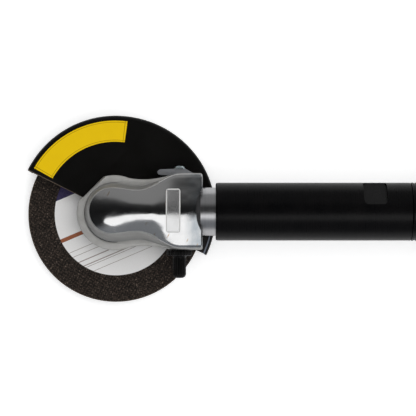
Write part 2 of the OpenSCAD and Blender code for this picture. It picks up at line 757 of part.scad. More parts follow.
module spindle_key() {
    color("#6f7276") translate([gear_seat_d / 2 - 1.18, -key_w / 2 + 0.02, low_bearing_top + 1.42])
        cube([2.1, key_w - 0.04, key_len - 0.04]);
}

module bevel_gear() {
    hub_z = low_bearing_top + side_gap;
    color("#9b8f78") difference() {
        union() {
            rotate_extrude() polygon([
                [gear_seat_d / 2, hub_z], [gear_root_far_r - 2, hub_z],
                [gear_root_far_r + 0.5, gear_root_far_z - 2.2], [gear_root_far_r, gear_root_far_z],
                [gear_root_near_r, gear_root_near_z], [gear_seat_d / 2, gear_root_near_z]
            ]);
            translate([0, 0, axis_z]) mirror([0, 0, 1]) bevel_teeth(gear_cone, gear_pitch_r, gear_teeth);
        }
        translate([gear_seat_d / 2 - 1.5, -key_w / 2, hub_z - 1]) cube([2.5, key_w, key_len + 3]);
    }
}

module bevel_pinion() {
    shaft_r = pinion_bearing_bore / 2;
    color("#9b8f78") along_x(0) {
        rotate_extrude() polygon([
            [0, pinion_front_x], [pinion_root_near_r, pinion_front_x], [pinion_root_far_r, pinion_back_x],
            [pinion_root_far_r, pinion_back_x + 1.4], [shaft_r + 1.2, pinion_bearing_x[0]],
            [shaft_r, pinion_bearing_x[0]], [shaft_r, coupling_x - 2],
            [shaft_end_d / 2, coupling_x - 2], [shaft_end_d / 2, coupling_x + 9], [0, coupling_x + 9]
        ]);
        rotate(pinion_turn) bevel_teeth(pinion_cone, pinion_pitch_r, pinion_teeth);
    }
}

module drive_coupling() {
    color("#76797d") along_x(coupling_x) ring(coupling_len, coupling_d / 2, shaft_end_d / 2 + seat_gap);
}

module steel_collar() {
    color("#c8cacb") along_x(collar_x) difference() {
        union() {
            cylinder(h = barrel_x - collar_x + 0.5, r = collar_d / 2);
            translate([0, 0, barrel_x - collar_x])
                cylinder(h = collar_thread_len, r = barrel_bore / 2 - seat_gap);
        }
        translate([0, 0, -1]) cylinder(h = 40, r = coupling_d / 2 + 1.5);
        translate([0, 0, head_len - collar_x + 0.6]) ring(0.5, collar_d / 2 + 1, collar_d / 2 - 0.35);
    }
}

// One milled flat with round ends, cut into the barrel at the given turn
module wrench_flat(turn) {
    reach = barrel_d / 2 - flat_depth;
    translate([barrel_x + flat_at, 0, axis_z]) rotate([-turn, 0, 0]) translate([0, 0, reach])
        linear_extrude(10) {
            translate([-flat_len / 2, -15]) square([flat_len, 30]);
        }
}

module barrel() {
    color("#1d1d1f") difference() {
        along_x(barrel_x) difference() {
            rotate_extrude() polygon([
                [0, 0], [barrel_d / 2 - 0.6, 0], [barrel_d / 2, 0.6],
                [barrel_d / 2, barrel_len - 0.5], [barrel_d / 2 - 0.5, barrel_len], [0, barrel_len]
            ]);
            translate([0, 0, -1]) cylinder(h = motor_end - barrel_x + 1, r = barrel_bore / 2);
            cylinder(h = barrel_len + 1, r = barrel_rear_bore / 2);
            translate([barrel_bore / 2 - 0.6, 0, cylinder_x + 8 - barrel_x])
                cylinder(h = exhaust_x + exhaust_ring_len - cylinder_x - 8, r = drain_r);
        }
        wrench_flat(flat_angle);
        wrench_flat(flat_angle + 180);
    }
}

module motor_cylinder() {
    color("#8d8478") along_x(cylinder_x) difference() {
        cylinder(h = cylinder_len, r = cylinder_d / 2);
        translate([cylinder_shift, 0, -1]) cylinder(h = cylinder_len + 2, r = cylinder_bore / 2);
        for (z = [10 : 6.5 : cylinder_len - 8])
            translate([5, 0, z]) rotate([0, 90, 0]) cylinder(h = 12, r = port_r);
    }
}

module end_plate(bearing_offset) {
    difference() {
        cylinder(h = end_plate_t, r = cylinder_d / 2);
        translate([0, 0, -1]) cylinder(h = end_plate_t + 2, r = motor_bearing_bore / 2 + 1);
        translate([0, 0, bearing_offset]) cylinder(h = motor_bearing_w, r = motor_bearing_d / 2 + seat_gap);
    }
}
module front_end_plate() {
    color("#9a9da1") along_x(motor_x) difference() {
        end_plate(1.5);
        translate([0, 0, -1]) cylinder(h = 4, r = motor_bearing_d / 2 + seat_gap);
    }
}
module rear_end_plate() {
    color("#9a9da1") along_x(rear_plate_x) difference() {
        end_plate(end_plate_t - motor_bearing_w - 1.5);
        translate([0, 0, end_plate_t - 3]) cylinder(h = 4, r = motor_bearing_d / 2 + seat_gap);
        for (turn = [150, 210]) rotate(turn) translate([11.4, 0, -1]) cylinder(h = 20, r = 1.2);
    }
}

module motor_spring_washer() {
    color("#a3a6aa") along_x(washer_x) ring(washer_t, barrel_bore / 2 - 0.2, barrel_rear_bore / 2);
}

module rotor() {
    front = coupling_x + 9.5;
    rear = washer_x;
    color("#85888c") difference() {
        along_x(0) {
            translate([0, 0, front]) cylinder(h = cylinder_x - front, r = shaft_end_d / 2);
            translate([0, 0, motor_x]) cylinder(h = rear - motor_x, r = motor_bearing_bore / 2);
            translate([0, 0, cylinder_x + rotor_gap]) cylinder(h = cylinder_len - 2 * rotor_gap, r = rotor_d / 2);
        }
        for (i = [0 : vane_count - 1]) translate([cylinder_x - 0.5, 0, axis_z]) rotate([i * 360 / vane_count, 0, 0])
            translate([0, -vane_t / 2 - 0.05, rotor_d / 2 - vane_depth - 0.3])
                cube([cylinder_len + 1, vane_t + 0.1, 20]);
    }
}

module rotor_vanes() {
    color("#b48a4a") for (i = [0 : vane_count - 1])
        translate([cylinder_x + 2 * rotor_gap, 0, axis_z]) rotate([i * 360 / vane_count, 0, 0])
            translate([0, -vane_t / 2, rotor_d / 2 - vane_depth - 0.1])
                cube([cylinder_len - 4 * rotor_gap, vane_t, vane_depth]);
}

module union_nut() {
    r = barrel_d / 2 + 0.1;
    pitch = (nut_len - 2) / nut_grooves;
    color("#1d1d1f") along_x(nut_x) difference() {
        soft_ring(nut_len, r, stub_d / 2 + seat_gap, 0.6);
        for (i = [0 : nut_grooves - 1]) translate([0, 0, 1 + (i + 0.5) * pitch]) rotate_extrude()
            translate([r + 0.35, 0]) circle(r = 0.7, $fn = 24);
    }
}

// The handle's outline, as height along +X and radius
module handle_profile() {
    r = handle_d / 2;
    polygon([
        [0, 0], [barrel_d / 2 - 1, 0], [barrel_d / 2, 1], [r - 0.6, 8], [r - 0.2, 14], [r, 24],
        [r, handle_len - 14], [r - 0.2, handle_len - 1], [r - 1, handle_len], [0, handle_len]
    ]);
}

module handle() {
    color("#222325") difference() {
        union() {
            along_x(handle_x) rotate_extrude() handle_profile();
            along_x(stub_x) cylinder(h = handle_x + 1 - stub_x, r = stub_d / 2);
            hull() {
                translate([pivot_x, lug_hw, pivot_z]) rotate([90, 0, 0]) cylinder(h = 2 * lug_hw, r = lug_r, $fn = 32);
                translate([pivot_x - lug_r - 1, -lug_hw, axis_z + 8]) cube([2 * lug_r + 2, 2 * lug_hw, 4]);
            }
        }
        difference() {
            translate([handle_x - 1, -20, axis_z + handle_flat_h]) cube([pivot_x - lug_r - 1 - handle_x, 40, 20]);
            translate([handle_x - 1, -20, axis_z + handle_flat_h - 1]) cube([8, 40, 22]);
        }
        translate([pivot_x - 6.2, lug_hw, axis_z + handle_flat_h]) cube([20, 20, 20]);
        translate([pivot_x - 6.2, -lug_hw - 20, axis_z + handle_flat_h]) cube([20, 20, 20]);
        translate([latch_ledge - pocket_len, -latch_hw - 0.6, axis_z + handle_flat_h - pocket_depth])
            cube([pocket_len, 2 * latch_hw + 1.2, 20]);
        for (i = [0 : grip_grooves - 1]) along_x(handle_x + 14 + i * grip_pitch) rotate_extrude()
            translate([handle_d / 2 + 1.6 - grip_depth, 0]) circle(r = 1.6, $fn = 32);
        translate([pivot_x, -30, pivot_z]) rotate([-90, 0, 0]) cylinder(h = 60, r = pivot_pin_d / 2 + run_gap);
        translate([pin_x, 0, axis_z]) cylinder(h = 40, r = throttle_pin_d / 2 + run_gap);
        translate([pin_x, 0, axis_z - 30]) cylinder(h = 30 + seat_z + seat_t - axis_z, r = valve_bore / 2);
        along_x(stub_x - 1) cylinder(h = 2.4, r = stub_d / 2 - 0.5);
        translate([stub_x, 0, axis_z + passage_h]) rotate([0, 90, 0]) cylinder(h = pin_x - stub_x, r = 2.6);
        translate([pin_x, 0, axis_z + passage_h]) sphere(r = 3.4);
        translate([pin_x, 0, axis_z - 5]) rotate([0, 90, 0]) cylinder(h = pin_reach - 5, r = 2.6);
        along_x(exhaust_x) ring(exhaust_ring_len, stub_d, stub_d / 2 - 2.6);
        for (side = [-1, 1])
            translate([exhaust_x + 1, side * exhaust_at[0], axis_z + exhaust_at[1]]) rotate([0, 90, 0])
                cylinder(h = handle_end - exhaust_x, r = exhaust_r);
        translate([regulator_x, 30, axis_z + passage_h]) rotate([90, 0, 0])
            cylinder(h = 36 + 4, r = regulator_d / 2 + run_gap);
        along_x(inlet_start) cylinder(h = 40, r = inlet_d / 2 - 3);
        along_x(inlet_start + 4) cylinder(h = 40, r = inlet_d / 2 - 1);
    }
}

module valve_seat() {
    color("#b39b5a") translate([pin_x, 0, seat_z]) ring(seat_t, valve_bore / 2 - seat_gap, seat_hole_r);
}

module valve_ball() {
    color("#d5d8dc") translate([pin_x, 0, ball_z]) sphere(r = valve_ball_d / 2);
}

module valve_spring() {
    wire = spring_wire / 2;
    mean_r = valve_ball_d / 2 - 0.4;
    under_ball = sqrt(pow(valve_ball_d / 2 + wire, 2) - pow(mean_r, 2)) + 0.1;
    color("#b0b3b7") translate([pin_x, 0, spring_z + wire])
        coil(mean_r, wire, ball_z - under_ball - spring_z - wire, spring_turns);
}

module valve_plug() {
    color("#b39b5a") translate([pin_x, 0, plug_z]) difference() {
        cylinder(h = plug_t, r = valve_bore / 2 - seat_gap);
        translate([0, 0, -1]) cylinder(h = 2.6, r = 2.6, $fn = 6);
    }
}

module throttle_pin() {
    reach = lever_under + pin_reach * tan(lever_slope) - 0.35;
    color("#b7babd") translate([pin_x, 0, axis_z]) {
        translate([0, 0, seat_z + seat_t - axis_z + 1])
            cylinder(h = reach - seat_z - seat_t + axis_z - 1, r = throttle_pin_d / 2);
        translate([0, 0, ball_z - axis_z + valve_ball_d / 2 + 0.1])
            cylinder(h = seat_z + seat_t + 1.5 - ball_z - valve_ball_d / 2, r = 1.3);
    }
}

// The lever in its own frame: pivot at the origin, the plate running towards -X
module lever_shape() {
    plate_h = lever_under - pivot_h;
    difference() {
        union() {
            translate([-lever_len + 6, -lever_w / 2, plate_h]) cube([lever_len - 7 - lug_r, lever_w, lever_t]);
            translate([-lever_len + 6, lever_w / 2, plate_h + lever_t + 5]) rotate([90, 0, 0])
                difference() {
                    cylinder(h = lever_w, r = 5 + lever_t);
                    translate([0, 0, -1]) cylinder(h = lever_w + 2, r = 5);
                    translate([0, -20, -1]) cube([20, 40, lever_w + 2]);
                    rotate(-40) translate([-30, 0, -1]) cube([60, 30, lever_w + 2]);
                }
            for (side = [-1, 1]) translate([0, side * (lever_w - lever_t) / 2, 0]) rotate([90, 0, 0])
                translate([0, 0, -lever_t / 2]) linear_extrude(lever_t) difference() {
                    union() {
                        circle(r = lug_r + 0.2);
                        polygon([
                            [3.6, 0], [3.6, plate_h + 0.1], [-lever_len + 6, plate_h + 0.1],
                            [-lever_len + 8, plate_h - lever_side * 0.6],
                            [-16, plate_h - lever_side * 0.6], [-3, -3]
                        ]);
                    }
                    circle(r = pivot_pin_d / 2 + run_gap);
                }
        }
        translate([latch_x - pivot_x - 6.5, -latch_hw - 0.4, plate_h - 1])
            cube([11, 2 * latch_hw + 0.8, lever_t + 2]);
        rotate([0, -lever_slope, 0]) translate([latch_x - pivot_x, 30, latch_z - pivot_z]) rotate([90, 0, 0])
            cylinder(h = 60, r = latch_pin_d / 2 + seat_gap);
    }
}

module throttle_lever() {
    color("#b9bbbe") translate([pivot_x, 0, pivot_z]) rotate([0, lever_slope, 0]) lever_shape();
}

module lever_pivot_pin() {
    color("#8c8f93") translate([pivot_x, lever_w / 2 + 0.4, pivot_z]) rotate([90, 0, 0])
        cylinder(h = lever_w + 0.8, r = pivot_pin_d / 2);
}

// The lock latch: a toe over the handle's ledge and a thumb tab through the lever's slot
module lock_latch() {
    width = 2 * latch_hw;
    color("#a7352c") translate([latch_x, latch_hw, latch_z]) rotate([90, 0, 0]) difference() {
        union() {
            cylinder(h = width, r = 2.1);
            linear_extrude(width)
                polygon([[-1.6, 0], [1.6, 0], [1.6, -toe_len + 0.4], [1.2, -toe_len], [-0.2, -toe_len], [-1.6, -4]]);
            linear_extrude(width)
                polygon([[1.8, 0], [0.6, 2], [-2.6, 8.4], [-4.6, 8.4], [-4.4, 7], [-1.9, 1]]);
        }
        translate([0, 0, -1]) cylinder(h = width + 2, r = latch_pin_d / 2 + run_gap);
    }
}

module latch_pin() {
    color("#8c8f93") translate([latch_x, lever_w / 2 + 0.2, latch_z]) rotate([90, 0, 0])
        cylinder(h = lever_w + 0.4, r = latch_pin_d / 2);
}

module latch_spring() {
    color("#b0b3b7") translate([latch_x, latch_hw + 0.1, latch_z]) rotate([-90, 0, 0])
        translate([0, 0, 0.1]) coil(1.45, 0.15, 0.35, 1);
}

module exhaust_silencer() {
    color("#8b8a82") along_x(deflector_x + 0.4)
        ring(deflector_len - 3, deflector_r - deflector_wall - 0.3, inlet_d / 2 + seat_gap);
}

module exhaust_deflector() {
    color("#232426") along_x(deflector_x) difference() {
        soft_ring(deflector_len, deflector_r, inlet_d / 2 + run_gap * 2, 1);
        translate([0, 0, -1]) cylinder(h = deflector_len - 1, r = deflector_r - deflector_wall);
        for (i = [0 : exhaust_holes - 1]) rotate(i * 18 - (exhaust_holes - 1) * 9)
            translate([0, 0, deflector_len / 2]) rotate([0, 90, 0]) cylinder(h = 30, r = 1.6);
    }
}

module inlet_bushing() {
    color("#b08d4c") along_x(0) difference() {
        union() {
            translate([0, 0, inlet_start + 4.1]) cylinder(h = deflector_x - inlet_start, r = inlet_d / 2 - 1 - seat_gap);
            translate([0, 0, handle_end]) cylinder(h = inlet_x - handle_end, r = inlet_d / 2);
            intersection() {
                translate([0, 0, inlet_x]) cylinder(h = inlet_hex_len, r = inlet_af / 2 / cos(30), $fn = 6);
                translate([0, 0, inlet_x - 0.5]) cylinder(h = inlet_hex_len + 0.5, r1 = inlet_af, r2 = inlet_af / 2);
            }
        }
        translate([0, 0, inlet_start]) cylinder(h = inlet_end - inlet_start, r = 4);
        translate([0, 0, inlet_end - inlet_depth]) cylinder(h = 40, r = inlet_hole_d / 2);
        translate([0, 0, inlet_end - inlet_depth - 1]) cylinder(h = 2, r = 5);
        translate([0, 0, inlet_start + 7]) rotate_extrude() translate([inlet_d / 2 - 1, 0]) circle(r = 0.9);
    }
}

module inlet_screen() {
    color("#9da0a4") along_x(inlet_end - inlet_depth - 0.9) difference() {
        cylinder(h = 0.8, r = 4.98);
        for (i = [0 : 5]) rotate(i * 60) translate([2.6, 0, -1]) cylinder(h = 3, r = 0.8);
        translate([0, 0, -1]) cylinder(h = 3, r = 0.8);
    }
}

module inlet_o_ring() {
    color("#2b2b2b") along_x(inlet_start + 7) difference() {
        rotate_extrude() translate([inlet_d / 2 - 1, 0]) circle(r = 0.88);
        translate([0, 0, -2]) ring(4, inlet_d, inlet_d / 2 - 1 - seat_gap);
    }
}

module inner_flange() {
    color("#8a8d91") difference() {
        union() {
            translate([0, 0, wheel_top]) cylinder(h = inner_flange_t, r = flange_d / 2);
            translate([0, 0, wheel_z + 0.3]) cylinder(h = wheel_t, r = arbor_d / 2 - seat_gap);
        }
        cylinder(h = 40, r = bolt_d / 2 + 0.1);
        translate([0, 0, wheel_top + 0.8]) cylinder(h = 20, r = low_bearing_bore / 2);
        translate([0, 0, wheel_top - 1]) ring(1.1, flange_d / 2 - 3, bushing_d / 2 + 0.6);
    }
}

module outer_flange() {
    color("#8a8d91") difference() {
        translate([0, 0, wheel_z - outer_flange_t]) rotate_extrude() polygon([
            [bolt_d / 2 + 0.1, 0], [flange_d / 2 - 1, 0], [flange_d / 2, 1],
            [flange_d / 2, outer_flange_t], [bolt_d / 2 + 0.1, outer_flange_t]
        ]);
        translate([0, 0, wheel_z - 0.2]) ring(1, flange_d / 2 - 3, bushing_d / 2 + 0.6);
    }
}

module cutting_wheel() {
    color("#3b332d") translate([0, 0, wheel_z]) ring(wheel_t, wheel_d / 2, bushing_d / 2 + seat_gap);
}

module wheel_bushing() {
    color("#9b9ea2") translate([0, 0, wheel_z]) ring(wheel_t, bushing_d / 2, arbor_d / 2);
}

module wheel_label() {
    color("#e4e2e0") translate([0, 0, wheel_top]) ring(label_t, label_d / 2, flange_d / 2 + 0.5);
}

module wheel_bolt() {
    color("#55585c") difference() {
        union() {
            cylinder(h = bolt_head_h + 0.2, r = bolt_af / 2 / cos(30), $fn = 6);
            translate([0, 0, bolt_head_h]) cylinder(h = bolt_flange_t, r = bolt_flange_d / 2);
            cylinder(h = low_bearing_top - 2, r = bolt_d / 2);
        }
    }
}

// The guard's wall and bend, as a section that is turned about the wheel's axis
module guard_section() {
    translate([guard_in_r, guard_top - guard_depth]) square([guard_t, guard_depth - guard_bend]);
    intersection() {
        translate([guard_r - guard_bend, guard_top - guard_bend]) difference() {
            circle(r = guard_bend);
            circle(r = guard_bend - guard_t);
        }
        translate([guard_r - guard_bend, guard_top - guard_bend]) square(guard_bend);
    }
    translate([collar_in_r, plate_z]) square([guard_r - guard_bend - collar_in_r, guard_t]);
}

module guard() {
    color("#151516") {
        rotate(guard_start) rotate_extrude(angle = guard_arc) guard_section();
        translate([0, 0, plate_z]) ring(guard_t, guard_hub_r, collar_in_r);
        translate([0, 0, plate_z]) ring(collar_top - plate_z, collar_out_r, collar_in_r);
    }
}

module guard_decal() {
    color("#e7c81e") rotate(decal_from) rotate_extrude(angle = decal_to - decal_from)
        translate([decal_r, guard_top]) square([decal_w, decal_t]);
}

// The lock knob turns on the clamp screw
module guard_lock_knob() {
    flutes = 20;
    color("#19191a") translate([clamp_screw_x, -shoulder_hw - 0.3, clamp_screw_z]) rotate([90, 0, 0]) difference() {
        union() {
            cylinder(h = knob_flange_t, r = knob_flange_d / 2);
            rotate_extrude() polygon([
                [0, 0], [knob_d / 2, 0], [knob_d / 2, knob_flange_t + knob_len - 1.4],
                [knob_d / 2 - 1.4, knob_flange_t + knob_len], [0, knob_flange_t + knob_len]
            ]);
        }
        for (i = [0 : flutes - 1]) rotate((i + 0.5) * 360 / flutes)
            translate([knob_flange_d / 2 + 0.35, 0, -1]) cylinder(h = knob_flange_t + 2, r = 0.8, $fn = 16);
        translate([0, 0, -1]) cylinder(h = knob_flange_t + 7.5, r = clamp_screw_d / 2 + run_gap);
    }
}

module air_regulator() {
    reach = handle_d / 2;
    color("#b08d4c") translate([regulator_x, -5.5, axis_z + passage_h]) rotate([-90, 0, 0]) difference() {
        cylinder(h = reach + 7, r = regulator_d / 2);
        translate([-20, 0, 5.5]) rotate([0, 90, 0]) cylinder(h = 40, r = 2.5);
        translate([-10, -0.6, reach + 5.6]) cube([20, 1.2, 5]);
    }
}

angle_head();
head_plate();
guard_clamp();
clamp_bar();
clamp_screw();
guard_retaining_ring();
bearing_cap();
spindle_seal();
low_bearing_outer();
top_bearing_outer();
pinion_bearing_outers();
bearing_balls();
steel_collar();
barrel();
motor_cylinder();
front_end_plate();
rear_end_plate();
motor_bearing_outers();
motor_spring_washer();
union_nut();
handle();
valve_seat();
valve_plug();
valve_spring();
exhaust_silencer();
inlet_bushing();
inlet_screen();
inlet_o_ring();
spindle();
spindle_key();
bevel_gear();
low_bearing_inner();
top_bearing_inner();
inner_flange();
outer_flange();
cutting_wheel();
wheel_bushing();
wheel_label();
wheel_bolt();
bevel_pinion();
pinion_bearing_inners();
drive_coupling();
rotor();
rotor_vanes();
motor_bearing_inners();
guard();
guard_decal();
guard_lock_knob();
throttle_lever();
lever_pivot_pin();
throttle_pin();
valve_ball();
lock_latch();
latch_pin();
latch_spring();
exhaust_deflector();
air_regulator();
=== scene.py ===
"""Pneumatic cut off tool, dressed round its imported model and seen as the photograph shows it."""
import math

import bmesh
import bpy
from mathutils import Matrix, Vector


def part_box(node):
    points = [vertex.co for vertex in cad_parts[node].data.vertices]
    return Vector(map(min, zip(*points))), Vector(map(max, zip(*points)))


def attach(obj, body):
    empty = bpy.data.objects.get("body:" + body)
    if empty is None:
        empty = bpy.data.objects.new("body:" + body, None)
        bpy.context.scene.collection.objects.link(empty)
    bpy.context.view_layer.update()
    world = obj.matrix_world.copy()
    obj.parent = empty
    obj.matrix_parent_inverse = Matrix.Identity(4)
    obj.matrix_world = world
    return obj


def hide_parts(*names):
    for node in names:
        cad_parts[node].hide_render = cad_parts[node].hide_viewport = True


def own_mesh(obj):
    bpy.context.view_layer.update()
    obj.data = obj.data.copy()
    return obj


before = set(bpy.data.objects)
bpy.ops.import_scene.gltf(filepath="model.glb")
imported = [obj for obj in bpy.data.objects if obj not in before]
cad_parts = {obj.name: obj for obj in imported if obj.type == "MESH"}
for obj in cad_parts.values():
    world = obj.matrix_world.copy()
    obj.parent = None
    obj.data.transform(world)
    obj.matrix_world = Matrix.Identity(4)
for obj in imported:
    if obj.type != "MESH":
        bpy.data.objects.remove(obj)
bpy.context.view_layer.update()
SCENE = bpy.context.scene
MM = 0.001

# Sizes and places in millimetres and degrees, most of them as the part's source has them.
# The scoop's start, the barrel's front lip and flats and what the guard gains are read from the photograph.
AXIS_Z = 42.0
WHEEL_TOP = 10.6
WHEEL_RIM_R = (49.5, 50.9)
LABEL_R = 35.5
HEAD_LEN = 50.1
HEAD_FLOOR = 30.8
SHOULDER_X = 29.5
WAIST_X = 14.0
SHOULDER_FULL_X = 38.0
LIP_X = (39.5, 45.5)
ROLL_STEPS = 6
COLLAR_R = 13.5
SCOOP_X = 44.2
PLATE_X = SHOULDER_X + 0.4
PLATE_LEN = 8.0
PLATE_HW = 12.2
PLATE_BORDER = 0.7
BARREL_X = 58.2
BARREL_LEN = 108.3
BARREL_R = 16.2
BARREL_BORE_R = 13.4
BARREL_LIP = 0.8
FLAT_X = 146.0
FLAT_LEN = 13.2
FLAT_DEPTH = 2.7
FLAT_TURN = 46.0
CLAMP_WAIST_HW = 18.85
# The bar's near face, its thickness and the share of it that goes
BAR_SLIM = (21.1, 5.4, 0.3)
RELIEF = ((18.8, -14), (30, -14), (30, 14), (18.8, 14))
KNOB_X = 36.9
KNOB_Y = -21.3
KNOB_Z = 27.6
KNOB_FLANGE_R = 7.2
KNOB_FLANGE_T = 3.2
KNOB_R = 3.8
KNOB_LEN = 12.6
KNOB_NOSE_R = 2.4
DECAL_R = (40.8, 52.9)
DECAL_MID_R = 46.0
DECAL_TURN = (82.3, 150.8)
GUARD_SKIRT_FROM_R = 50.0
GUARD_END = 153.8
GUARD_LOW_END = -11.5
GUARD_BEND_R = 55.7
GUARD_WIDER = 1.6

# The camera stands a metre above the wheel, a little on the near side, and looks down
PIXEL_MM = 0.5785
CAMERA_MM = 1000.0
CAMERA_RISE = math.radians(87.5)
WHEEL_PX = (116.15, 213.9)
FRAME_PX = 416
SENSOR_MM = 36


def place_camera():
    middle = FRAME_PX / 2
    aim = Vector(((middle - WHEEL_PX[0]) * PIXEL_MM, (WHEEL_PX[1] - middle) * PIXEL_MM, WHEEL_TOP))
    back = Vector((0, -math.cos(CAMERA_RISE), math.sin(CAMERA_RISE)))
    camera = bpy.data.cameras.new("photo_camera")
    camera.sensor_width = SENSOR_MM
    camera.lens = SENSOR_MM * CAMERA_MM / (FRAME_PX * PIXEL_MM)
    camera.clip_end = 20
    stand = bpy.data.objects.new("photo_camera", camera)
    stand.location = (aim + back * CAMERA_MM) * MM
    stand.rotation_euler = (math.pi / 2 - CAMERA_RISE, 0, 0)
    SCENE.collection.objects.link(stand)
    SCENE.camera = stand


def colour(code):
    """The linear colour of an sRGB hex code."""
    parts = [int(code[i : i + 2], 16) / 255 for i in (1, 3, 5)]
    return [p / 12.92 if p <= 0.04045 else ((p + 0.055) / 1.055) ** 2.4 for p in parts] + [1.0]


def feed(node, inputs):
    """Gives a node's inputs their values. A value that is another node's socket is linked."""
    for key, value in inputs.items():
        if isinstance(value, bpy.types.NodeSocket):
            node.id_data.links.new(value, node.inputs[key])
        else:
            node.inputs[key].default_value = value


def add(tree, kind, inputs=None, stops=(), out=0, **settings):
    """Adds a node with its settings, colour stops, values and links, and gives one of its outputs.

    A stop is a place and a hex code or a grey level. A colour Mix takes its factor in input 0, its
    colours in 6 and 7, and gives its result at output 2.
    """
    made = tree.nodes.new("ShaderNode" + kind)
    for key, value in settings.items():
        setattr(made.color_ramp if key == "interpolation" else made, key, value)
    for i, (place, code) in enumerate(stops):
        if len(made.color_ramp.elements) <= i:
            made.color_ramp.elements.new(place)
        made.color_ramp.elements[i].position = place
        made.color_ramp.elements[i].color = colour(code) if isinstance(code, str) else [code] * 3 + [1]
    feed(made, inputs or {})
    return made.outputs[out]


# Light. The lamps turn about a point over the handle, given in metres

LAMPS_X = 0.42
LAMPS_Z = 0.04


def lamp(name, degrees, distance, size, power, glossy=True):
    """A soft box over the tool, tilted from straight up towards +Y. Its size is (along X, across)."""
    angle = math.radians(degrees)
    light = bpy.data.lights.new(name, "AREA")
    light.shape = "ELLIPSE" if glossy else "RECTANGLE"
    light.size, light.size_y = size
    light.energy = power
    stand = bpy.data.objects.new(name, light)
    stand.location = (LAMPS_X, math.sin(angle) * distance, LAMPS_Z + math.cos(angle) * distance)
    stand.rotation_euler = (-angle, 0, 0)
    stand.visible_camera = False
    stand.visible_glossy = glossy
    SCENE.collection.objects.link(stand)


def light_the_studio():
    # The strip makes the long streak on the polished head. The fill is for the matt parts and the
    # prints, and the metal doesn't reflect it.
    lamp("key_strip", -25, 1.6, (2.1, 0.64), 4.1)
    lamp("soft_fill", 4, 1.6, (1.8, 1.8), 23.5, glossy=False)
    world = bpy.data.worlds.new("studio")
    world.use_nodes = True
    tree = world.node_tree
    room = tree.nodes["Background"]
    # A dark band runs overhead from end to end, between a grey far wall and a cooler grey near one
    way = add(tree, "TexCoord", out="Generated")
    side = add(tree, "SeparateXYZ", {0: way}, out="Y")
    across = add(tree, "MapRange", {"Value": side, "From Min": -1.0, "From Max": 1.0})
    near_wall = [(0.0, 0.24), (0.2, 0.24)]
    overhead = [(0.26, 0.02), (0.5, 0.01), (0.64, 0.02), (0.72, 0.05)]
    far_wall = [(0.78, 0.25), (1.0, 0.27)]
    walls = add(tree, "ValToRGB", {"Fac": across}, stops=near_wall + overhead + far_wall)
    level = add(tree, "MapRange", {"Value": side, "From Min": -0.5, "From Max": 0.5})
    tint = add(tree, "ValToRGB", {"Fac": level}, stops=[(0.0, "#e6ebf2"), (1.0, "#f4f4f4")])
    tinted = add(tree, "Mix", {0: 1.0, 6: walls, 7: tint}, out=2, data_type="RGBA", blend_type="MULTIPLY")
    feed(room, {"Color": tinted})
    # The camera sees a white ground, and the metal goes on reflecting the room
    white = add(tree, "Background", {"Color": colour("#ffffff"), "Strength": 1.0})
    seen = add(tree, "LightPath", out="Is Camera Ray")
    shown = add(tree, "MixShader", {0: seen, 1: room.outputs[0], 2: white})
    feed(tree.nodes["World Output"], {"Surface": shown})
    SCENE.world = world
    SCENE.view_settings.view_transform = "Standard"


def lay_the_floor():
    # Matt white paper under the tool: it holds a soft shadow, and glows a little for the camera alone
    bpy.ops.object.select_all(action="DESELECT")
    bpy.ops.mesh.primitive_plane_add(size=8, location=(0, 0, 0))
    floor = bpy.context.object
    floor.name = "floor"
    made, tree, shader, place = material("studio_paper")
    grain = add(tree, "TexNoise", {"Vector": place, "Scale": per(3), "Detail": 2.0})
    tone = add(tree, "ValToRGB", {"Fac": grain}, stops=[(0.3, "#f0f0f0"), (0.7, "#f4f4f4")])
    seen = add(tree, "LightPath", out="Is Camera Ray")
    glow = add(tree, "Math", {0: seen, 1: 0.5}, operation="MULTIPLY")
    feed(shader, {"Base Color": tone, "Roughness": 0.9, "Specular IOR Level": 0.1})
    feed(shader, {"Emission Color": colour("#ffffff"), "Emission Strength": glow})
    floor.data.materials.append(made)


# Materials


def per(size):
    """The texture scale whose features are about this many millimetres."""
    return 1 / (size * MM)


def material(name):
    """A new material: itself, its tree, its shader and the piece's own coordinates."""
    made = bpy.data.materials.new(name)
    made.use_nodes = True
    tree = made.node_tree
    return made, tree, tree.nodes["Principled BSDF"], add(tree, "TexCoord", out="Object")


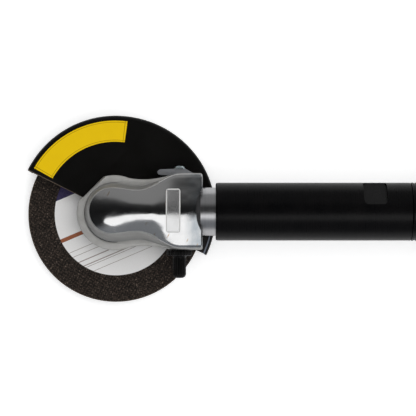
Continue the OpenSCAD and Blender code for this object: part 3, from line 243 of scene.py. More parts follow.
def polished_aluminium():
    # Cast aluminium polished by hand: long soft reflections, fine drag marks and a few stained scratches
    made, tree, shader, place = material("hand_polished_cast_aluminium")
    # The mop leaves slow waves about 16 mm apart, and drag marks along the tool. The marks of a real mop
    # are under 0.1 mm apart. They are drawn 0.35 mm apart, because finer ones don't show.
    waves = add(tree, "TexNoise", {"Vector": place, "Scale": per(16), "Detail": 2.0})
    shape = add(tree, "Bump", {"Height": waves, "Strength": 0.5, "Distance": 0.9 * MM})
    drawn = add(tree, "Mapping", {"Vector": place, "Scale": (0.14, 1, 1)})
    drag = add(tree, "TexNoise", {"Vector": drawn, "Scale": per(0.35), "Detail": 3.0, "Roughness": 0.6})
    shape = add(tree, "Bump", {"Height": drag, "Strength": 0.5, "Distance": 0.012 * MM, "Normal": shape})
    drawn = add(tree, "Mapping", {"Vector": place, "Scale": (0.5, 1, 1)})
    patches = add(tree, "TexNoise", {"Vector": drawn, "Scale": per(5), "Detail": 4.0})
    rough = add(tree, "ValToRGB", {"Fac": patches}, stops=[(0.3, 0.1), (0.7, 0.19)])
    # The buffing wheel reaches the rear lip less well: the finish hazes there under a thin grey film
    along = add(tree, "SeparateXYZ", {0: place}, out="X")
    lip = add(tree, "MapRange", {"Value": along, "From Min": LIP_X[0] * MM, "From Max": LIP_X[1] * MM})
    rough = add(tree, "Mix", {0: lip, 2: rough, 3: 0.2016})
    drawn = add(tree, "Mapping", {"Vector": place, "Scale": (1, 0.6, 1)})
    film = add(tree, "TexNoise", {"Vector": drawn, "Scale": per(6), "Detail": 2.0})
    film = add(tree, "ValToRGB", {"Fac": film}, stops=[(0.3, 0.25), (0.62, 1.0)])
    film = add(tree, "Math", {0: film, 1: lip}, operation="MULTIPLY")
    tone = add(tree, "Mix", {0: film, 6: colour("#dcdcdc"), 7: colour("#aab0b5")}, out=2, data_type="RGBA")
    # Thin brown streaks lean across the cap
    leaning = add(tree, "VectorRotate", {"Vector": place, "Angle": math.radians(24)})
    leaning = add(tree, "Mapping", {"Vector": leaning, "Scale": (1, 0.14, 0.4)})
    leaning_streaks = add(tree, "TexNoise", {"Vector": leaning, "Scale": per(1.4), "Detail": 1.0})
    leaning_streaks = add(tree, "ValToRGB", {"Fac": leaning_streaks}, stops=[(0.725, 0.0), (0.765, 0.6)])
    tone = add(tree, "Mix", {0: leaning_streaks, 6: tone, 7: colour("#b08a55")}, out=2, data_type="RGBA")
    feed(shader, {"Base Color": tone, "Metallic": 1.0, "Roughness": rough, "Normal": shape})
    return made


def linished_aluminium():
    # Cast aluminium finished on a belt: satin, with short strokes that run round the casting
    made, tree, shader, place = material("belt_linished_cast_aluminium")
    # The belt's grit leaves strokes about 0.1 mm apart, drawn 0.4 mm apart so that they show
    drawn = add(tree, "Mapping", {"Vector": place, "Scale": (0.2, 0.2, 1)})
    strokes = add(tree, "TexNoise", {"Vector": drawn, "Scale": per(0.4), "Detail": 4.0, "Roughness": 0.65})
    rough = add(tree, "ValToRGB", {"Fac": strokes}, stops=[(0.3, 0.36), (0.7, 0.52)])
    shape = add(tree, "Bump", {"Height": strokes, "Strength": 0.6, "Distance": 0.03 * MM})
    cloud = add(tree, "TexNoise", {"Vector": place, "Scale": per(7), "Detail": 3.0})
    tone = add(tree, "ValToRGB", {"Fac": cloud}, stops=[(0.3, "#a7a7a6"), (0.7, "#b8b8b6")])
    feed(shader, {"Base Color": tone, "Metallic": 0.55, "Roughness": rough, "Normal": shape})
    return made


def blasted_aluminium():
    # Cast aluminium blasted with glass beads: an even matte grey with a fine pitted grain
    made, tree, shader, place = material("bead_blasted_cast_aluminium")
    # The beads' pits are about 0.1 mm wide, drawn 0.25 mm wide so that they show
    pits = add(tree, "TexNoise", {"Vector": place, "Scale": per(0.25), "Detail": 3.0, "Roughness": 0.7})
    rough = add(tree, "ValToRGB", {"Fac": pits}, stops=[(0.3, 0.5), (0.7, 0.66)])
    shape = add(tree, "Bump", {"Height": pits, "Strength": 0.7, "Distance": 0.04 * MM})
    cloud = add(tree, "TexNoise", {"Vector": place, "Scale": per(6), "Detail": 3.0})
    tone = add(tree, "ValToRGB", {"Fac": cloud}, stops=[(0.3, "#bcbbb8"), (0.7, "#cac9c6")])
    feed(shader, {"Base Color": tone, "Metallic": 0.35, "Roughness": rough, "Normal": shape})
    return made


def turned_steel(name, code, axis, rough=(0.2, 0.34)):
    # Steel off the lathe: fine rings round the axis, so its highlight breaks into threads.
    # A fine cut leaves rings about 0.1 mm apart, drawn 0.5 mm apart so that they show.
    made, tree, shader, place = material(name)
    drawn = add(tree, "Mapping", {"Vector": place, "Scale": axis})
    rings = add(tree, "TexNoise", {"Vector": drawn, "Scale": per(0.5), "Detail": 2.0, "Roughness": 0.6})
    shape = add(tree, "Bump", {"Height": rings, "Strength": 0.6, "Distance": 0.012 * MM})
    dull = add(tree, "ValToRGB", {"Fac": rings}, stops=[(0.35, 0.0), (0.75, 0.35)])
    tone = add(tree, "Mix", {0: dull, 6: colour(code), 7: colour("#8d8f92")}, out=2, data_type="RGBA")
    cloud = add(tree, "TexNoise", {"Vector": place, "Scale": per(14), "Detail": 1.0})
    shine = add(tree, "ValToRGB", {"Fac": cloud}, stops=[(0.3, rough[0]), (0.7, rough[1])])
    feed(shader, {"Base Color": tone, "Metallic": 1.0, "Roughness": shine, "Normal": shape})
    return made


def worn_metal(name, code, other, metallic, rough, grain=0.5, depth=0.01):
    # A plated, ground or oiled metal: a faint cloud in its colour, fine grain, and shine that varies.
    # Except on the cast and the sintered metal the real grain is under 0.1 mm wide. It is drawn wider,
    # as each call gives it, so that it shows.
    made, tree, shader, place = material(name)
    cloud = add(tree, "TexNoise", {"Vector": place, "Scale": per(4), "Detail": 4.0})
    tone = add(tree, "Mix", {0: cloud, 6: colour(code), 7: colour(other)}, out=2, data_type="RGBA")
    fine = add(tree, "TexNoise", {"Vector": place, "Scale": per(grain), "Detail": 3.0, "Roughness": 0.6})
    shine = add(tree, "ValToRGB", {"Fac": fine}, stops=[(0.3, rough[0]), (0.7, rough[1])])
    shape = add(tree, "Bump", {"Height": fine, "Strength": 0.6, "Distance": depth * MM})
    feed(shader, {"Base Color": tone, "Metallic": metallic, "Roughness": shine, "Normal": shape})
    return made


def moulded(name, code, other, rough, grain=0.35, depth=0.03):
    # A moulded, painted or pressed surface: an even colour with a fine grain that softens its shine.
    # The grain is 0.3 to 0.5 mm wide, coarser than the real one where that is too fine to show.
    made, tree, shader, place = material(name)
    cloud = add(tree, "TexNoise", {"Vector": place, "Scale": per(8), "Detail": 3.0})
    tone = add(tree, "Mix", {0: cloud, 6: colour(code), 7: colour(other)}, out=2, data_type="RGBA")
    fine = add(tree, "TexNoise", {"Vector": place, "Scale": per(grain), "Detail": 3.0, "Roughness": 0.6})
    shine = add(tree, "ValToRGB", {"Fac": fine}, stops=[(0.3, rough[0]), (0.7, rough[1])])
    shape = add(tree, "Bump", {"Height": fine, "Strength": 0.6, "Distance": depth * MM})
    feed(shader, {"Base Color": tone, "Roughness": shine, "Normal": shape})
    return made


def printed_foil():
    # Rolled aluminium foil, blank: a faint sheen inside a matt pale border printed round its edge
    made, tree, shader, place = material("printed_aluminium_foil")
    sides = []
    for axis, middle, half in (("X", PLATE_X + PLATE_LEN / 2, PLATE_LEN / 2), ("Y", 0, PLATE_HW)):
        off = add(tree, "SeparateXYZ", {0: place}, out=axis)
        off = add(tree, "Math", {0: off, 1: middle * MM}, operation="SUBTRACT")
        off = add(tree, "Math", {0: off}, operation="ABSOLUTE")
        sides.append(add(tree, "Math", {0: off, 1: (half - PLATE_BORDER) * MM}, operation="GREATER_THAN"))
    border = add(tree, "Math", {0: sides[0], 1: sides[1]}, operation="MAXIMUM")
    tone = add(tree, "Mix", {0: border, 6: colour("#e0e0e0"), 7: colour("#d2d2d0")}, out=2, data_type="RGBA")
    bare = add(tree, "Math", {0: 1.0, 1: border}, operation="SUBTRACT")
    metal = add(tree, "Math", {0: bare, 1: 0.9}, operation="MULTIPLY")
    # The mill's grain is finer than 0.1 mm, drawn 0.4 mm wide so that it shows
    fine = add(tree, "TexNoise", {"Vector": place, "Scale": per(0.4), "Detail": 3.0, "Roughness": 0.6})
    shine = add(tree, "ValToRGB", {"Fac": fine}, stops=[(0.3, 0.25), (0.7, 0.27)])
    rough = add(tree, "Mix", {0: border, 2: shine, 3: 0.479})
    shape = add(tree, "Bump", {"Height": fine, "Strength": 0.5, "Distance": 0.001 * MM})
    feed(shader, {"Base Color": tone, "Metallic": metal, "Roughness": rough, "Normal": shape})
    return made


def anodised_aluminium():
    # Turned aluminium under hard black anodising: near black, silky, with faint lathe lines in the film
    made, tree, shader, place = material("hard_black_anodised_aluminium")
    # The lathe's lines are about 0.1 mm apart, drawn 0.3 mm apart so that they show
    drawn = add(tree, "Mapping", {"Vector": place, "Scale": (1, 0.02, 0.02)})
    lines = add(tree, "TexNoise", {"Vector": drawn, "Scale": per(0.3), "Detail": 3.0, "Roughness": 0.6})
    rough = add(tree, "ValToRGB", {"Fac": lines}, stops=[(0.3, 0.26), (0.7, 0.34)])
    shape = add(tree, "Bump", {"Height": lines, "Strength": 0.5, "Distance": 0.006 * MM})
    cloud = add(tree, "TexNoise", {"Vector": place, "Scale": per(9), "Detail": 3.0})
    tone = add(tree, "ValToRGB", {"Fac": cloud}, stops=[(0.3, "#060607"), (0.7, "#0b0a0b")])
    feed(shader, {"Base Color": tone, "Roughness": rough, "Normal": shape})
    feed(shader, {"IOR": 1.35, "Specular IOR Level": 0.3})
    return made


def powder_coat():
    # Black powder coat on sheet steel: satin, a slight orange peel, and a few pale specks where it is nicked
    made, tree, shader, place = material("black_powder_coat")
    peel = add(tree, "TexNoise", {"Vector": place, "Scale": per(1.1), "Detail": 2.0})
    rough = add(tree, "ValToRGB", {"Fac": peel}, stops=[(0.3, 0.36), (0.7, 0.46)])
    shape = add(tree, "Bump", {"Height": peel, "Strength": 0.5, "Distance": 0.03 * MM})
    cloud = add(tree, "TexNoise", {"Vector": place, "Scale": per(14), "Detail": 3.0})
    tone = add(tree, "ValToRGB", {"Fac": cloud}, stops=[(0.3, "#060504"), (0.7, "#0a0908")])
    nicks = add(tree, "TexNoise", {"Vector": place, "Scale": per(0.9), "Detail": 2.0})
    nicks = add(tree, "ValToRGB", {"Fac": nicks}, stops=[(0.77, 0.0), (0.8, 0.55)])
    tone = add(tree, "Mix", {0: nicks, 6: tone, 7: colour("#4a4038")}, out=2, data_type="RGBA")
    # The coat turns pale brown along the sheet's cut end, and a pale blue-grey line is painted as a highlight
    # on the outer bent edge near the other end
    x = add(tree, "SeparateXYZ", {0: place}, out="X")
    y = add(tree, "SeparateXYZ", {0: place}, out="Y")
    turned = add(tree, "Math", {0: y, 1: x}, operation="ARCTAN2")
    cut_end = math.radians(GUARD_END - 0.4)
    pale_cut_end = add(tree, "Math", {0: turned, 1: cut_end}, operation="GREATER_THAN")
    tone = add(tree, "Mix", {0: pale_cut_end, 6: tone, 7: colour("#5d5145")}, out=2, data_type="RGBA")
    flat = add(tree, "Mapping", {"Vector": place, "Scale": (1, 1, 0)})
    radius = add(tree, "VectorMath", {0: flat}, out="Value", operation="LENGTH")
    # Painted highlight: a pale blue-grey line along the outer bent edge, at the low end only
    painted_bend_highlight = add(tree, "Math", {0: radius, 1: GUARD_BEND_R * MM, 2: 0.4 * MM}, operation="COMPARE")
    low_end = add(tree, "Math", {0: turned, 1: math.radians(GUARD_LOW_END)}, operation="LESS_THAN")
    painted_bend_highlight = add(tree, "Math", {0: painted_bend_highlight, 1: low_end}, operation="MULTIPLY")
    tone = add(tree, "Mix", {0: painted_bend_highlight, 6: tone, 7: colour("#747a86")}, out=2, data_type="RGBA")
    feed(shader, {"Base Color": tone, "Roughness": rough, "IOR": 1.38, "Normal": shape})
    return made


def yellow_vinyl():
    # Printed vinyl film, blank: a yellow field inside a thin darker line, with a soft surface
    made, tree, shader, place = material("yellow_vinyl_film")
    x = add(tree, "SeparateXYZ", {0: place}, out="X")
    y = add(tree, "SeparateXYZ", {0: place}, out="Y")
    turned = add(tree, "Math", {0: y, 1: x}, operation="ARCTAN2")
    flat = add(tree, "Mapping", {"Vector": place, "Scale": (1, 1, 0)})
    radius = add(tree, "VectorMath", {0: flat}, out="Value", operation="LENGTH")
    # The line lies 0.75 mm inside all four edges
    inner, outer = DECAL_R
    first, last = (math.radians(t) for t in DECAL_TURN)
    lines = []
    for value, low, high, width in (
        (radius, inner * MM, outer * MM, outer - inner),
        (turned, first, last, DECAL_MID_R * (last - first)),
    ):
        share = add(tree, "MapRange", {"Value": value, "From Min": low, "From Max": high})
        inset = 0.75 / width
        edge = [(0.0, 0.0), (inset, 1.0), (inset * 1.5, 0.0), (1 - inset * 1.5, 1.0), (1 - inset, 0.0)]
        lines.append(add(tree, "ValToRGB", {"Fac": share}, stops=edge, interpolation="CONSTANT"))
    line = add(tree, "Math", {0: lines[0], 1: lines[1]}, operation="MAXIMUM")
    cloud = add(tree, "TexNoise", {"Vector": place, "Scale": per(5), "Detail": 3.0})
    tone = add(tree, "Mix", {0: cloud, 6: colour("#f2c804"), 7: colour("#f8d00a")}, out=2, data_type="RGBA")
    tone = add(tree, "Mix", {0: line, 6: tone, 7: colour("#c09c06")}, out=2, data_type="RGBA")
    rough = add(tree, "ValToRGB", {"Fac": cloud}, stops=[(0.3, 0.42), (0.7, 0.52)])
    fine = add(tree, "TexNoise", {"Vector": place, "Scale": per(0.6), "Detail": 3.0})
    shape = add(tree, "Bump", {"Height": fine, "Strength": 0.5, "Distance": 0.01 * MM})
    feed(shader, {"Base Color": tone, "Roughness": rough, "IOR": 1.3, "Normal": shape})
    return made


def abrasive():
    # Resin-bonded abrasive, pressed: dark grit with pale grains, over a woven glass mesh that shows through
    made, tree, shader, place = material("resin_bonded_abrasive")
    # Grit 36 has grains of about 0.55 mm
    cells = add(tree, "TexVoronoi", {"Vector": place, "Scale": per(0.55)}, out="Distance")
    grains = cells.node.outputs["Color"]
    shades = [(0.0, "#0b0908"), (0.5, "#1d1815"), (0.82, "#3a312b"), (1.0, "#83756a")]
    tone = add(tree, "ValToRGB", {"Fac": grains}, stops=shades)
    # The mesh has a thread every 1.6 mm. The wave repeats 20 / (2 pi) times in a unit of its scale.
    turned = add(tree, "VectorRotate", {"Vector": place, "Angle": math.radians(32)})
    threads = {"Vector": turned, "Scale": per(1.6) / 20 * 2 * math.pi, "Distortion": 0.6, "Detail": 2.0}
    lattice = []
    for side in ("X", "Y"):
        bands = add(tree, "TexWave", threads, out="Fac", bands_direction=side)
        lattice.append(add(tree, "ValToRGB", {"Fac": bands}, stops=[(0.55, 0.0), (0.95, 1.0)]))
    weave = add(tree, "Math", {0: lattice[0], 1: lattice[1]}, operation="MULTIPLY")
    cover = add(tree, "TexNoise", {"Vector": place, "Scale": per(0.9), "Detail": 2.0})
    weave = add(tree, "Math", {0: weave, 1: cover}, operation="MULTIPLY")
    tone = add(tree, "Mix", {0: weave, 6: tone, 7: colour("#5c5147")}, out=2, data_type="RGBA")
    # The cutting edge is rubbed pale
    flat = add(tree, "Mapping", {"Vector": place, "Scale": (1, 1, 0)})
    radius = add(tree, "VectorMath", {0: flat}, out="Value", operation="LENGTH")
    low, high = WHEEL_RIM_R
    rim = add(tree, "MapRange", {"Value": radius, "From Min": low * MM, "From Max": high * MM})
    rim = add(tree, "ValToRGB", {"Fac": rim}, stops=[(0.45, 0.0), (0.9, 0.55)])
    tone = add(tree, "Mix", {0: rim, 6: tone, 7: colour("#77695c")}, out=2, data_type="RGBA")
    rough = add(tree, "ValToRGB", {"Fac": cells}, stops=[(0.0, 0.6), (0.6, 0.85)])
    height = add(tree, "Math", {0: cells, 1: weave}, operation="SUBTRACT")
    shape = add(tree, "Bump", {"Height": height, "Strength": 0.8, "Distance": 0.12 * MM})
    feed(shader, {"Base Color": tone, "Roughness": rough, "Normal": shape})
    return made


def printed_paper():
    # Printed paper: a pale grey sheet with a navy field, a brown bar and ruled lines, all at one slant
    made, tree, shader, place = material("printed_paper_label")
    slant = math.radians(23)
    across = (-math.sin(slant), math.cos(slant), 0)
    level = add(tree, "VectorMath", {0: place, 1: across}, out="Value", operation="DOT_PRODUCT")
    share = add(tree, "MapRange", {"Value": level, "From Min": -LABEL_R * MM, "From Max": LABEL_R * MM})
    # Each print starts this many millimetres across the label, measured at right angles to the slant
    paper = "#f3f2f1"
    prints = [(-LABEL_R, paper)]
    for line in (-25.6, -21.9, -20.7, -17.6, -13.6, -10.5):
        prints += [(line - 0.19, "#9c918a"), (line + 0.19, paper)]
    prints += [(-3.6, "#96532f"), (-1.2, paper), (20.2, "#241a4c")]
    stops = [((start + LABEL_R) / (2 * LABEL_R), code) for start, code in prints]
    inked = add(tree, "ValToRGB", {"Fac": share}, stops=stops, interpolation="CONSTANT")
    # Paper fibres are about 0.03 mm wide, drawn 0.5 mm wide so that they show
    fibre = add(tree, "TexNoise", {"Vector": place, "Scale": per(0.5), "Detail": 4.0, "Roughness": 0.6})
    faded = add(tree, "ValToRGB", {"Fac": fibre}, stops=[(0.35, 0.0), (0.75, 0.1)])
    tone = add(tree, "Mix", {0: faded, 6: inked, 7: colour("#bdb8b3")}, out=2, data_type="RGBA")
    rough = add(tree, "ValToRGB", {"Fac": fibre}, stops=[(0.3, 0.5), (0.7, 0.64)])
    shape = add(tree, "Bump", {"Height": fibre, "Strength": 0.5, "Distance": 0.015 * MM})
    feed(shader, {"Base Color": tone, "Roughness": rough, "Normal": shape})
    return made


# Making pieces


def build(name, body, bm, materials, *nodes, smooth=30.0):
    """Turns a bmesh in millimetres into a piece that rides on a body and stands for the nodes."""
    bmesh.ops.scale(bm, vec=(MM, MM, MM), verts=bm.verts)
    bmesh.ops.recalc_face_normals(bm, faces=bm.faces)
    mesh = bpy.data.meshes.new(name)
    bm.to_mesh(mesh)
    bm.free()
    for made in materials:
        mesh.materials.append(made)
    mesh.shade_smooth()
    mesh.set_sharp_from_angle(angle=math.radians(smooth))
    piece = bpy.data.objects.new(name, mesh)
    SCENE.collection.objects.link(piece)
    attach(piece, body)
    if nodes:
        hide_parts(*nodes)
    return piece


def apply(piece, kind, **settings):
    """Adds a modifier and applies it at once."""
    added = piece.modifiers.new(kind.lower(), kind)
    for key, value in settings.items():
        setattr(added, key, value)
    with bpy.context.temp_override(object=piece, active_object=piece, selected_objects=[piece]):
        bpy.ops.object.modifier_apply(modifier=added.name)


def round_edges(piece, width, clamped):
    """Rounds each edge that turns by more than 32 degrees. A clamped rounding stops where two meet."""
    apply(piece, "BEVEL", width=width * MM, segments=2, limit_method="ANGLE",
          angle_limit=math.radians(32), use_clamp_overlap=clamped)
    piece.data.shade_smooth()
    piece.data.set_sharp_from_angle(angle=math.radians(30))


def slimmer(point):
    """The clamp's bar and its screw lose a share of their thickness from its near face on."""
    start, thickness, share = BAR_SLIM
    if point.y > start:
        point.y -= min(point.y - start, thickness) * share


def wider(point):
    """The guard's skirt stands out a little more towards the barrel."""
    radius = math.hypot(point.x, point.y)
    if radius > GUARD_SKIRT_FROM_R and point.x > 0:
        grown = radius + GUARD_WIDER * (point.x / radius) ** 2
        point.x *= grown / radius
        point.y *= grown / radius


def soften(node, body, width, made, reshape=None, more=()):
    """A copy of a CAD node with its edges rounded, in the node's place.

    reshape moves each of its points. The outlines in more are joined on or cut out.
    """
    bm = bmesh.new()
    bm.from_mesh(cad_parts[node].data)
    bmesh.ops.scale(bm, vec=(1 / MM, 1 / MM, 1 / MM), verts=bm.verts)
    bmesh.ops.remove_doubles(bm, verts=bm.verts, dist=0.002)
    bmesh.ops.dissolve_limit(bm, angle_limit=math.radians(0.6), verts=bm.verts, edges=bm.edges)
    for face in bm.faces:
        face.material_index = 0
    for vert in bm.verts:
        if reshape:
            reshape(vert.co)
    piece = build(node + "_finished", body, bm, [made], node)
    for operation, outline, low, high in more:
        tool = bmesh.new()
        prism(tool, outline, low, high, Matrix())
        cut(piece, tool, operation)
    if more:
        bm = bmesh.new()
        bm.from_mesh(piece.data)
        bmesh.ops.remove_doubles(bm, verts=bm.verts, dist=0.02 * MM)
        bmesh.ops.dissolve_limit(bm, angle_limit=math.radians(1.5), verts=bm.verts, edges=bm.edges)
        bm.to_mesh(piece.data)
        bm.free()
    if width:
        round_edges(piece, width, clamped=not more)
    return piece


def dress(made, *nodes):
    """Gives CAD nodes that keep their own mesh a material."""
    for name in nodes:
        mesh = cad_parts[name].data
        mesh.materials.clear()
        mesh.materials.append(made)


def turn(bm, profile, place, steps, swell=None):
    """Revolves (height, radius) pairs into a closed skin. swell(turn, height, radius) shapes it."""
    rings = []
    for height, radius in profile:
        ring = []
        for i in range(steps):
            a = 2 * math.pi * i / steps
            r = swell(a, height, radius) if swell else radius
            ring.append(bm.verts.new(place @ Vector((r * math.cos(a), r * math.sin(a), height))))
        rings.append(ring)
    for low, high in zip(rings, rings[1:]):
        for i in range(steps):
            j = (i + 1) % steps
            bm.faces.new((low[i], low[j], high[j], high[i]))
    if profile[0] != profile[-1]:
        bm.faces.new(rings[0][::-1])
        bm.faces.new(rings[-1])


def on_axis(x):
    """Puts what is made along +Z on the handle's axis, starting at x."""
    return Matrix.Translation((x, 0, AXIS_Z)) @ Matrix.Rotation(math.pi / 2, 4, "Y")


# The head's form


def ease(t):
    """Runs from 0 to 1 with a soft start and end."""
    t = max(0.0, min(1.0, t))
    return t * t * (3 - 2 * t)


def along_head(x, dome, waist, rear):
    """A measure of the head's section at x, which eases from the dome to the waist and on to the shoulder."""
    if x < WAIST_X:
        return dome + (waist - dome) * ease(x / WAIST_X)
    return waist + (rear - waist) * ease((x - WAIST_X) / (SHOULDER_FULL_X - WAIST_X))


def crown(x):
    """Half width, top, drop of the cap, width of its rounded ridge and half width at the foot, at x."""
    flare = ease((x - WAIST_X) / 9)
    return (
        along_head(x, 13.0, 11.7, 21.0),
        AXIS_Z + along_head(x, 17.5, 16.6, 15.5),
        along_head(x, 3.2, 4.5, 4.1) + 0.6 * flare * (1 - ease((x - 26) / 9)),
        2.0 - 1.55 * flare - 0.3 * ease((x - 24) / 10),
        along_head(x, 16.6, 15.5, 21.2),
    )


def crown_z(x, y):
    """The cap's height: a parabola on the dome, and a low roof with a rounded ridge on the shoulder."""
    wide, top, drop, ridge, _ = crown(x)
    level = math.hypot(1, ridge) - ridge
    return top - drop * (math.hypot(y / wide, ridge) - ridge) / level


def half_section(x, steps, inset=0.0):
    """One side of the section at x as (half width, height), from its foot up to just short of the ridge."""
    wide, top, _, _, foot = crown(x)
    reach = 0.6 + 1.6 * ease((x - WAIST_X) / (SHOULDER_FULL_X - WAIST_X))
    edge_z = crown_z(x, wide)
    fall = (foot - wide) / (edge_z - HEAD_FLOOR)
    side = [(foot - 0.3, HEAD_FLOOR), (foot, HEAD_FLOOR + 0.3), (foot, HEAD_FLOOR + 1.8)]
    side.append((foot - 0.2 - 2.2 * fall, HEAD_FLOOR + 2.2))
    low = (wide + reach * fall, edge_z - reach)
    high = (wide - reach, crown_z(x, wide - reach))
    for i in range(ROLL_STEPS + 1):
        t = i / ROLL_STEPS
        w = (1 - t) ** 2 * low[0] + 2 * t * (1 - t) * wide + t * t * high[0]
        z = (1 - t) ** 2 * low[1] + 2 * t * (1 - t) * edge_z + t * t * high[1]
        side.append((w, z))
    for i in range(1, steps):
        w = high[0] * (1 - i / steps)
        side.append((w, crown_z(x, w)))
    return [(w - inset, z - inset) for w, z in side], top - inset


def angle_head(polished, flank, cast):
    """The head: its near side from the rear forwards, half a turn round the dome, and its far side back."""
    round_off = 1.3
    turns = 48
    bm = bmesh.new()
    places = [(HEAD_LEN - round_off) * i / 64 for i in range(65)]
    insets = [0.0] * len(places)
    for i in range(1, 5):
        a = math.pi / 2 * i / 4
        places.append(HEAD_LEN - round_off + round_off * math.sin(a))
        insets.append(round_off * (1 - math.cos(a)))
    sections = [half_section(x, 22, inset) for x, inset in zip(places, insets)]
    ridge = [bm.verts.new((x, 0, top)) for x, (_, top) in zip(places, sections)]
    columns = []
    ridges = []
    for x, (side, _), at in reversed(list(zip(places, sections, ridge))):
        columns.append([bm.verts.new((x, -w, z)) for w, z in side])
        ridges.append(at)
    for j in range(1, turns):
        a = math.radians(270 - 180 * j / turns)
        columns.append([bm.verts.new((w * math.cos(a), w * math.sin(a), z)) for w, z in sections[0][0]])
        ridges.append(ridge[0])
    for x, (side, _), at in zip(places, sections, ridge):
        columns.append([bm.verts.new((x, w, z)) for w, z in side])
        ridges.append(at)
    for c in range(len(columns) - 1):
        left, right = columns[c], columns[c + 1]
        for r in range(len(left) - 1):
            face = bm.faces.new((left[r], right[r], right[r + 1], left[r + 1]))
            rolled = r < 4 + (ROLL_STEPS if abs(left[r].co.x) < SHOULDER_X - 4 else ROLL_STEPS // 2)
            face.material_index = 1 if rolled else 0
        corner = [left[-1], right[-1], ridges[c + 1], ridges[c]]
        face = bm.faces.new(corner if ridges[c] is not ridges[c + 1] else corner[:3])
    bm.faces.new([c[0] for c in reversed(columns)]).material_index = 1
    bm.faces.new(columns[0] + [ridges[0]] + columns[-1][::-1]).material_index = 1
    piece = build("angle_head_casting", "tool_body", bm, [polished, flank], "angle_head", smooth=17)
    # The cast scoop that clears the steel collar, and the collar's bore
    cutter = bmesh.new()
    bore = COLLAR_R + 0.05
    mouth = (HEAD_LEN - SCOOP_X + 1, COLLAR_R + 5.4)
    turn(cutter, [(-6, bore), (0, bore), mouth], on_axis(SCOOP_X), 128)
    cut(piece, cutter)
    # A low cast fillet is left round the collar's root
    fillet = bmesh.new()
    slope = [(0, COLLAR_R + 1.7), (2.0, COLLAR_R + 1.1), (3.2, COLLAR_R + 0.55), (4.2, COLLAR_R + 0.2)]
    turn(fillet, [(0, bore)] + slope + [(4.8, bore), (0, bore)], on_axis(SCOOP_X), 128)
    bmesh.ops.remove_doubles(fillet, verts=fillet.verts, dist=0.0005)
    cut(piece, fillet, "UNION")
    # Faces inside the scoop and on the fillet take the cast material, whose dark colour is painted shade
    mesh = piece.data
    mesh.materials.append(cast)
    for face in mesh.polygons:
        x, y, z = face.center / MM
        out = Vector((0, y, z - AXIS_Z))
        inward = face.normal.dot(out.normalized()) < -0.15 or out.length < COLLAR_R + 1.8
        if SCOOP_X - 0.2 < x < HEAD_LEN - 0.01 and inward:
            face.material_index = 2
    return piece


def cut(piece, cutter, operation="DIFFERENCE"):
    """Cuts a bmesh in millimetres out of a piece, or joins it on."""
    bmesh.ops.scale(cutter, vec=(MM, MM, MM), verts=cutter.verts)
    bmesh.ops.recalc_face_normals(cutter, faces=cutter.faces)
    mesh = bpy.data.meshes.new("cutter")
    cutter.to_mesh(mesh)
    cutter.free()
    tool = bpy.data.objects.new("cutter", mesh)
    SCENE.collection.objects.link(tool)
    apply(piece, "BOOLEAN", operation=operation, object=tool, solver="EXACT")
    bpy.data.objects.remove(tool)
    bpy.data.meshes.remove(mesh)


def head_plate(made):
    """The blank plate: a thin sheet with round corners that lies on the shoulder."""
    corner = 1.5
    thick = 0.28
    middle = PLATE_X + PLATE_LEN / 2
    bm = bmesh.new()
    rows = []
    for j in range(61):
        y = PLATE_HW * math.sin(math.pi / 2 * (j / 30 - 1))
        over = max(0.0, abs(y) - (PLATE_HW - corner))
        pull = corner - math.sqrt(max(0.0, corner * corner - over * over))
        half = PLATE_LEN / 2 - pull
        rows.append([(middle + half * (2 * i / 12 - 1), y) for i in range(13)])
    low = [[bm.verts.new((x, y, crown_z(x, y) + 0.02)) for x, y in row] for row in rows]
    high = [[bm.verts.new((x, y, crown_z(x, y) + thick)) for x, y in row] for row in rows]
    last = len(rows) - 1
    side = len(rows[0]) - 1
    for j in range(last):
        for i in range(side):
            bm.faces.new((low[j][i], low[j + 1][i], low[j + 1][i + 1], low[j][i + 1]))
            bm.faces.new((high[j][i], high[j][i + 1], high[j + 1][i + 1], high[j + 1][i]))
        bm.faces.new((low[j][0], high[j][0], high[j + 1][0], low[j + 1][0]))
        bm.faces.new((low[j][side], low[j + 1][side], high[j + 1][side], high[j][side]))
    for i in range(side):
        bm.faces.new((low[0][i], low[0][i + 1], high[0][i + 1], high[0][i]))
        bm.faces.new((low[last][i], high[last][i], high[last][i + 1], low[last][i + 1]))
    return build("blank_name_plate", "tool_body", bm, [made], "head_plate")


def barrel(made):
    """The long tube, with its two milled flats whose corners are as round as the mill."""
    r = BARREL_R
    bore = BARREL_BORE_R
    lip = -BARREL_LIP
    front = [(0, bore), (0, bore + 0.22), (lip, bore + 0.22)]
    front += [(lip, r - 1.0), (-0.65, r - 0.5), (-0.3, r - 0.14), (0.2, r)]
    rear = [(BARREL_LEN - 0.4, r), (BARREL_LEN - 0.12, r - 0.25), (BARREL_LEN, r - 0.6)]
    bm = bmesh.new()
    turn(bm, front + rear + [(BARREL_LEN, bore), (0, bore)], on_axis(BARREL_X), 192)
    bmesh.ops.remove_doubles(bm, verts=bm.verts, dist=0.0005)
    piece = build("motor_barrel", "tool_body", bm, [made], "barrel")
    half = math.sqrt(r * r - (r - FLAT_DEPTH) ** 2)
    outline = rounded_rectangle(FLAT_LEN / 2, half + 0.25, 3.0, 8)
    for side in (0, 180):
        cutter = bmesh.new()
        turned = Matrix.Rotation(-math.radians(FLAT_TURN + side), 4, "X")
        place = Matrix.Translation((FLAT_X, 0, AXIS_Z)) @ turned @ Matrix.Translation((0, 0, r - FLAT_DEPTH))
        prism(cutter, outline, 0, 12, place)
        cut(piece, cutter)
    piece.data.shade_smooth()
    piece.data.set_sharp_from_angle(angle=math.radians(24))
    return piece


def rounded_rectangle(half_x, half_y, corner, steps):
    """An outline in corners of quarter turns, from the one at +X and +Y on."""
    points = []
    for k, (sx, sy) in enumerate(((1, 1), (-1, 1), (-1, -1), (1, -1))):
        middle = (sx * (half_x - corner), sy * (half_y - corner))
        for i in range(steps + 1):
            a = math.pi / 2 * (k + i / steps)
            points.append((middle[0] + corner * math.cos(a), middle[1] + corner * math.sin(a)))
    return points


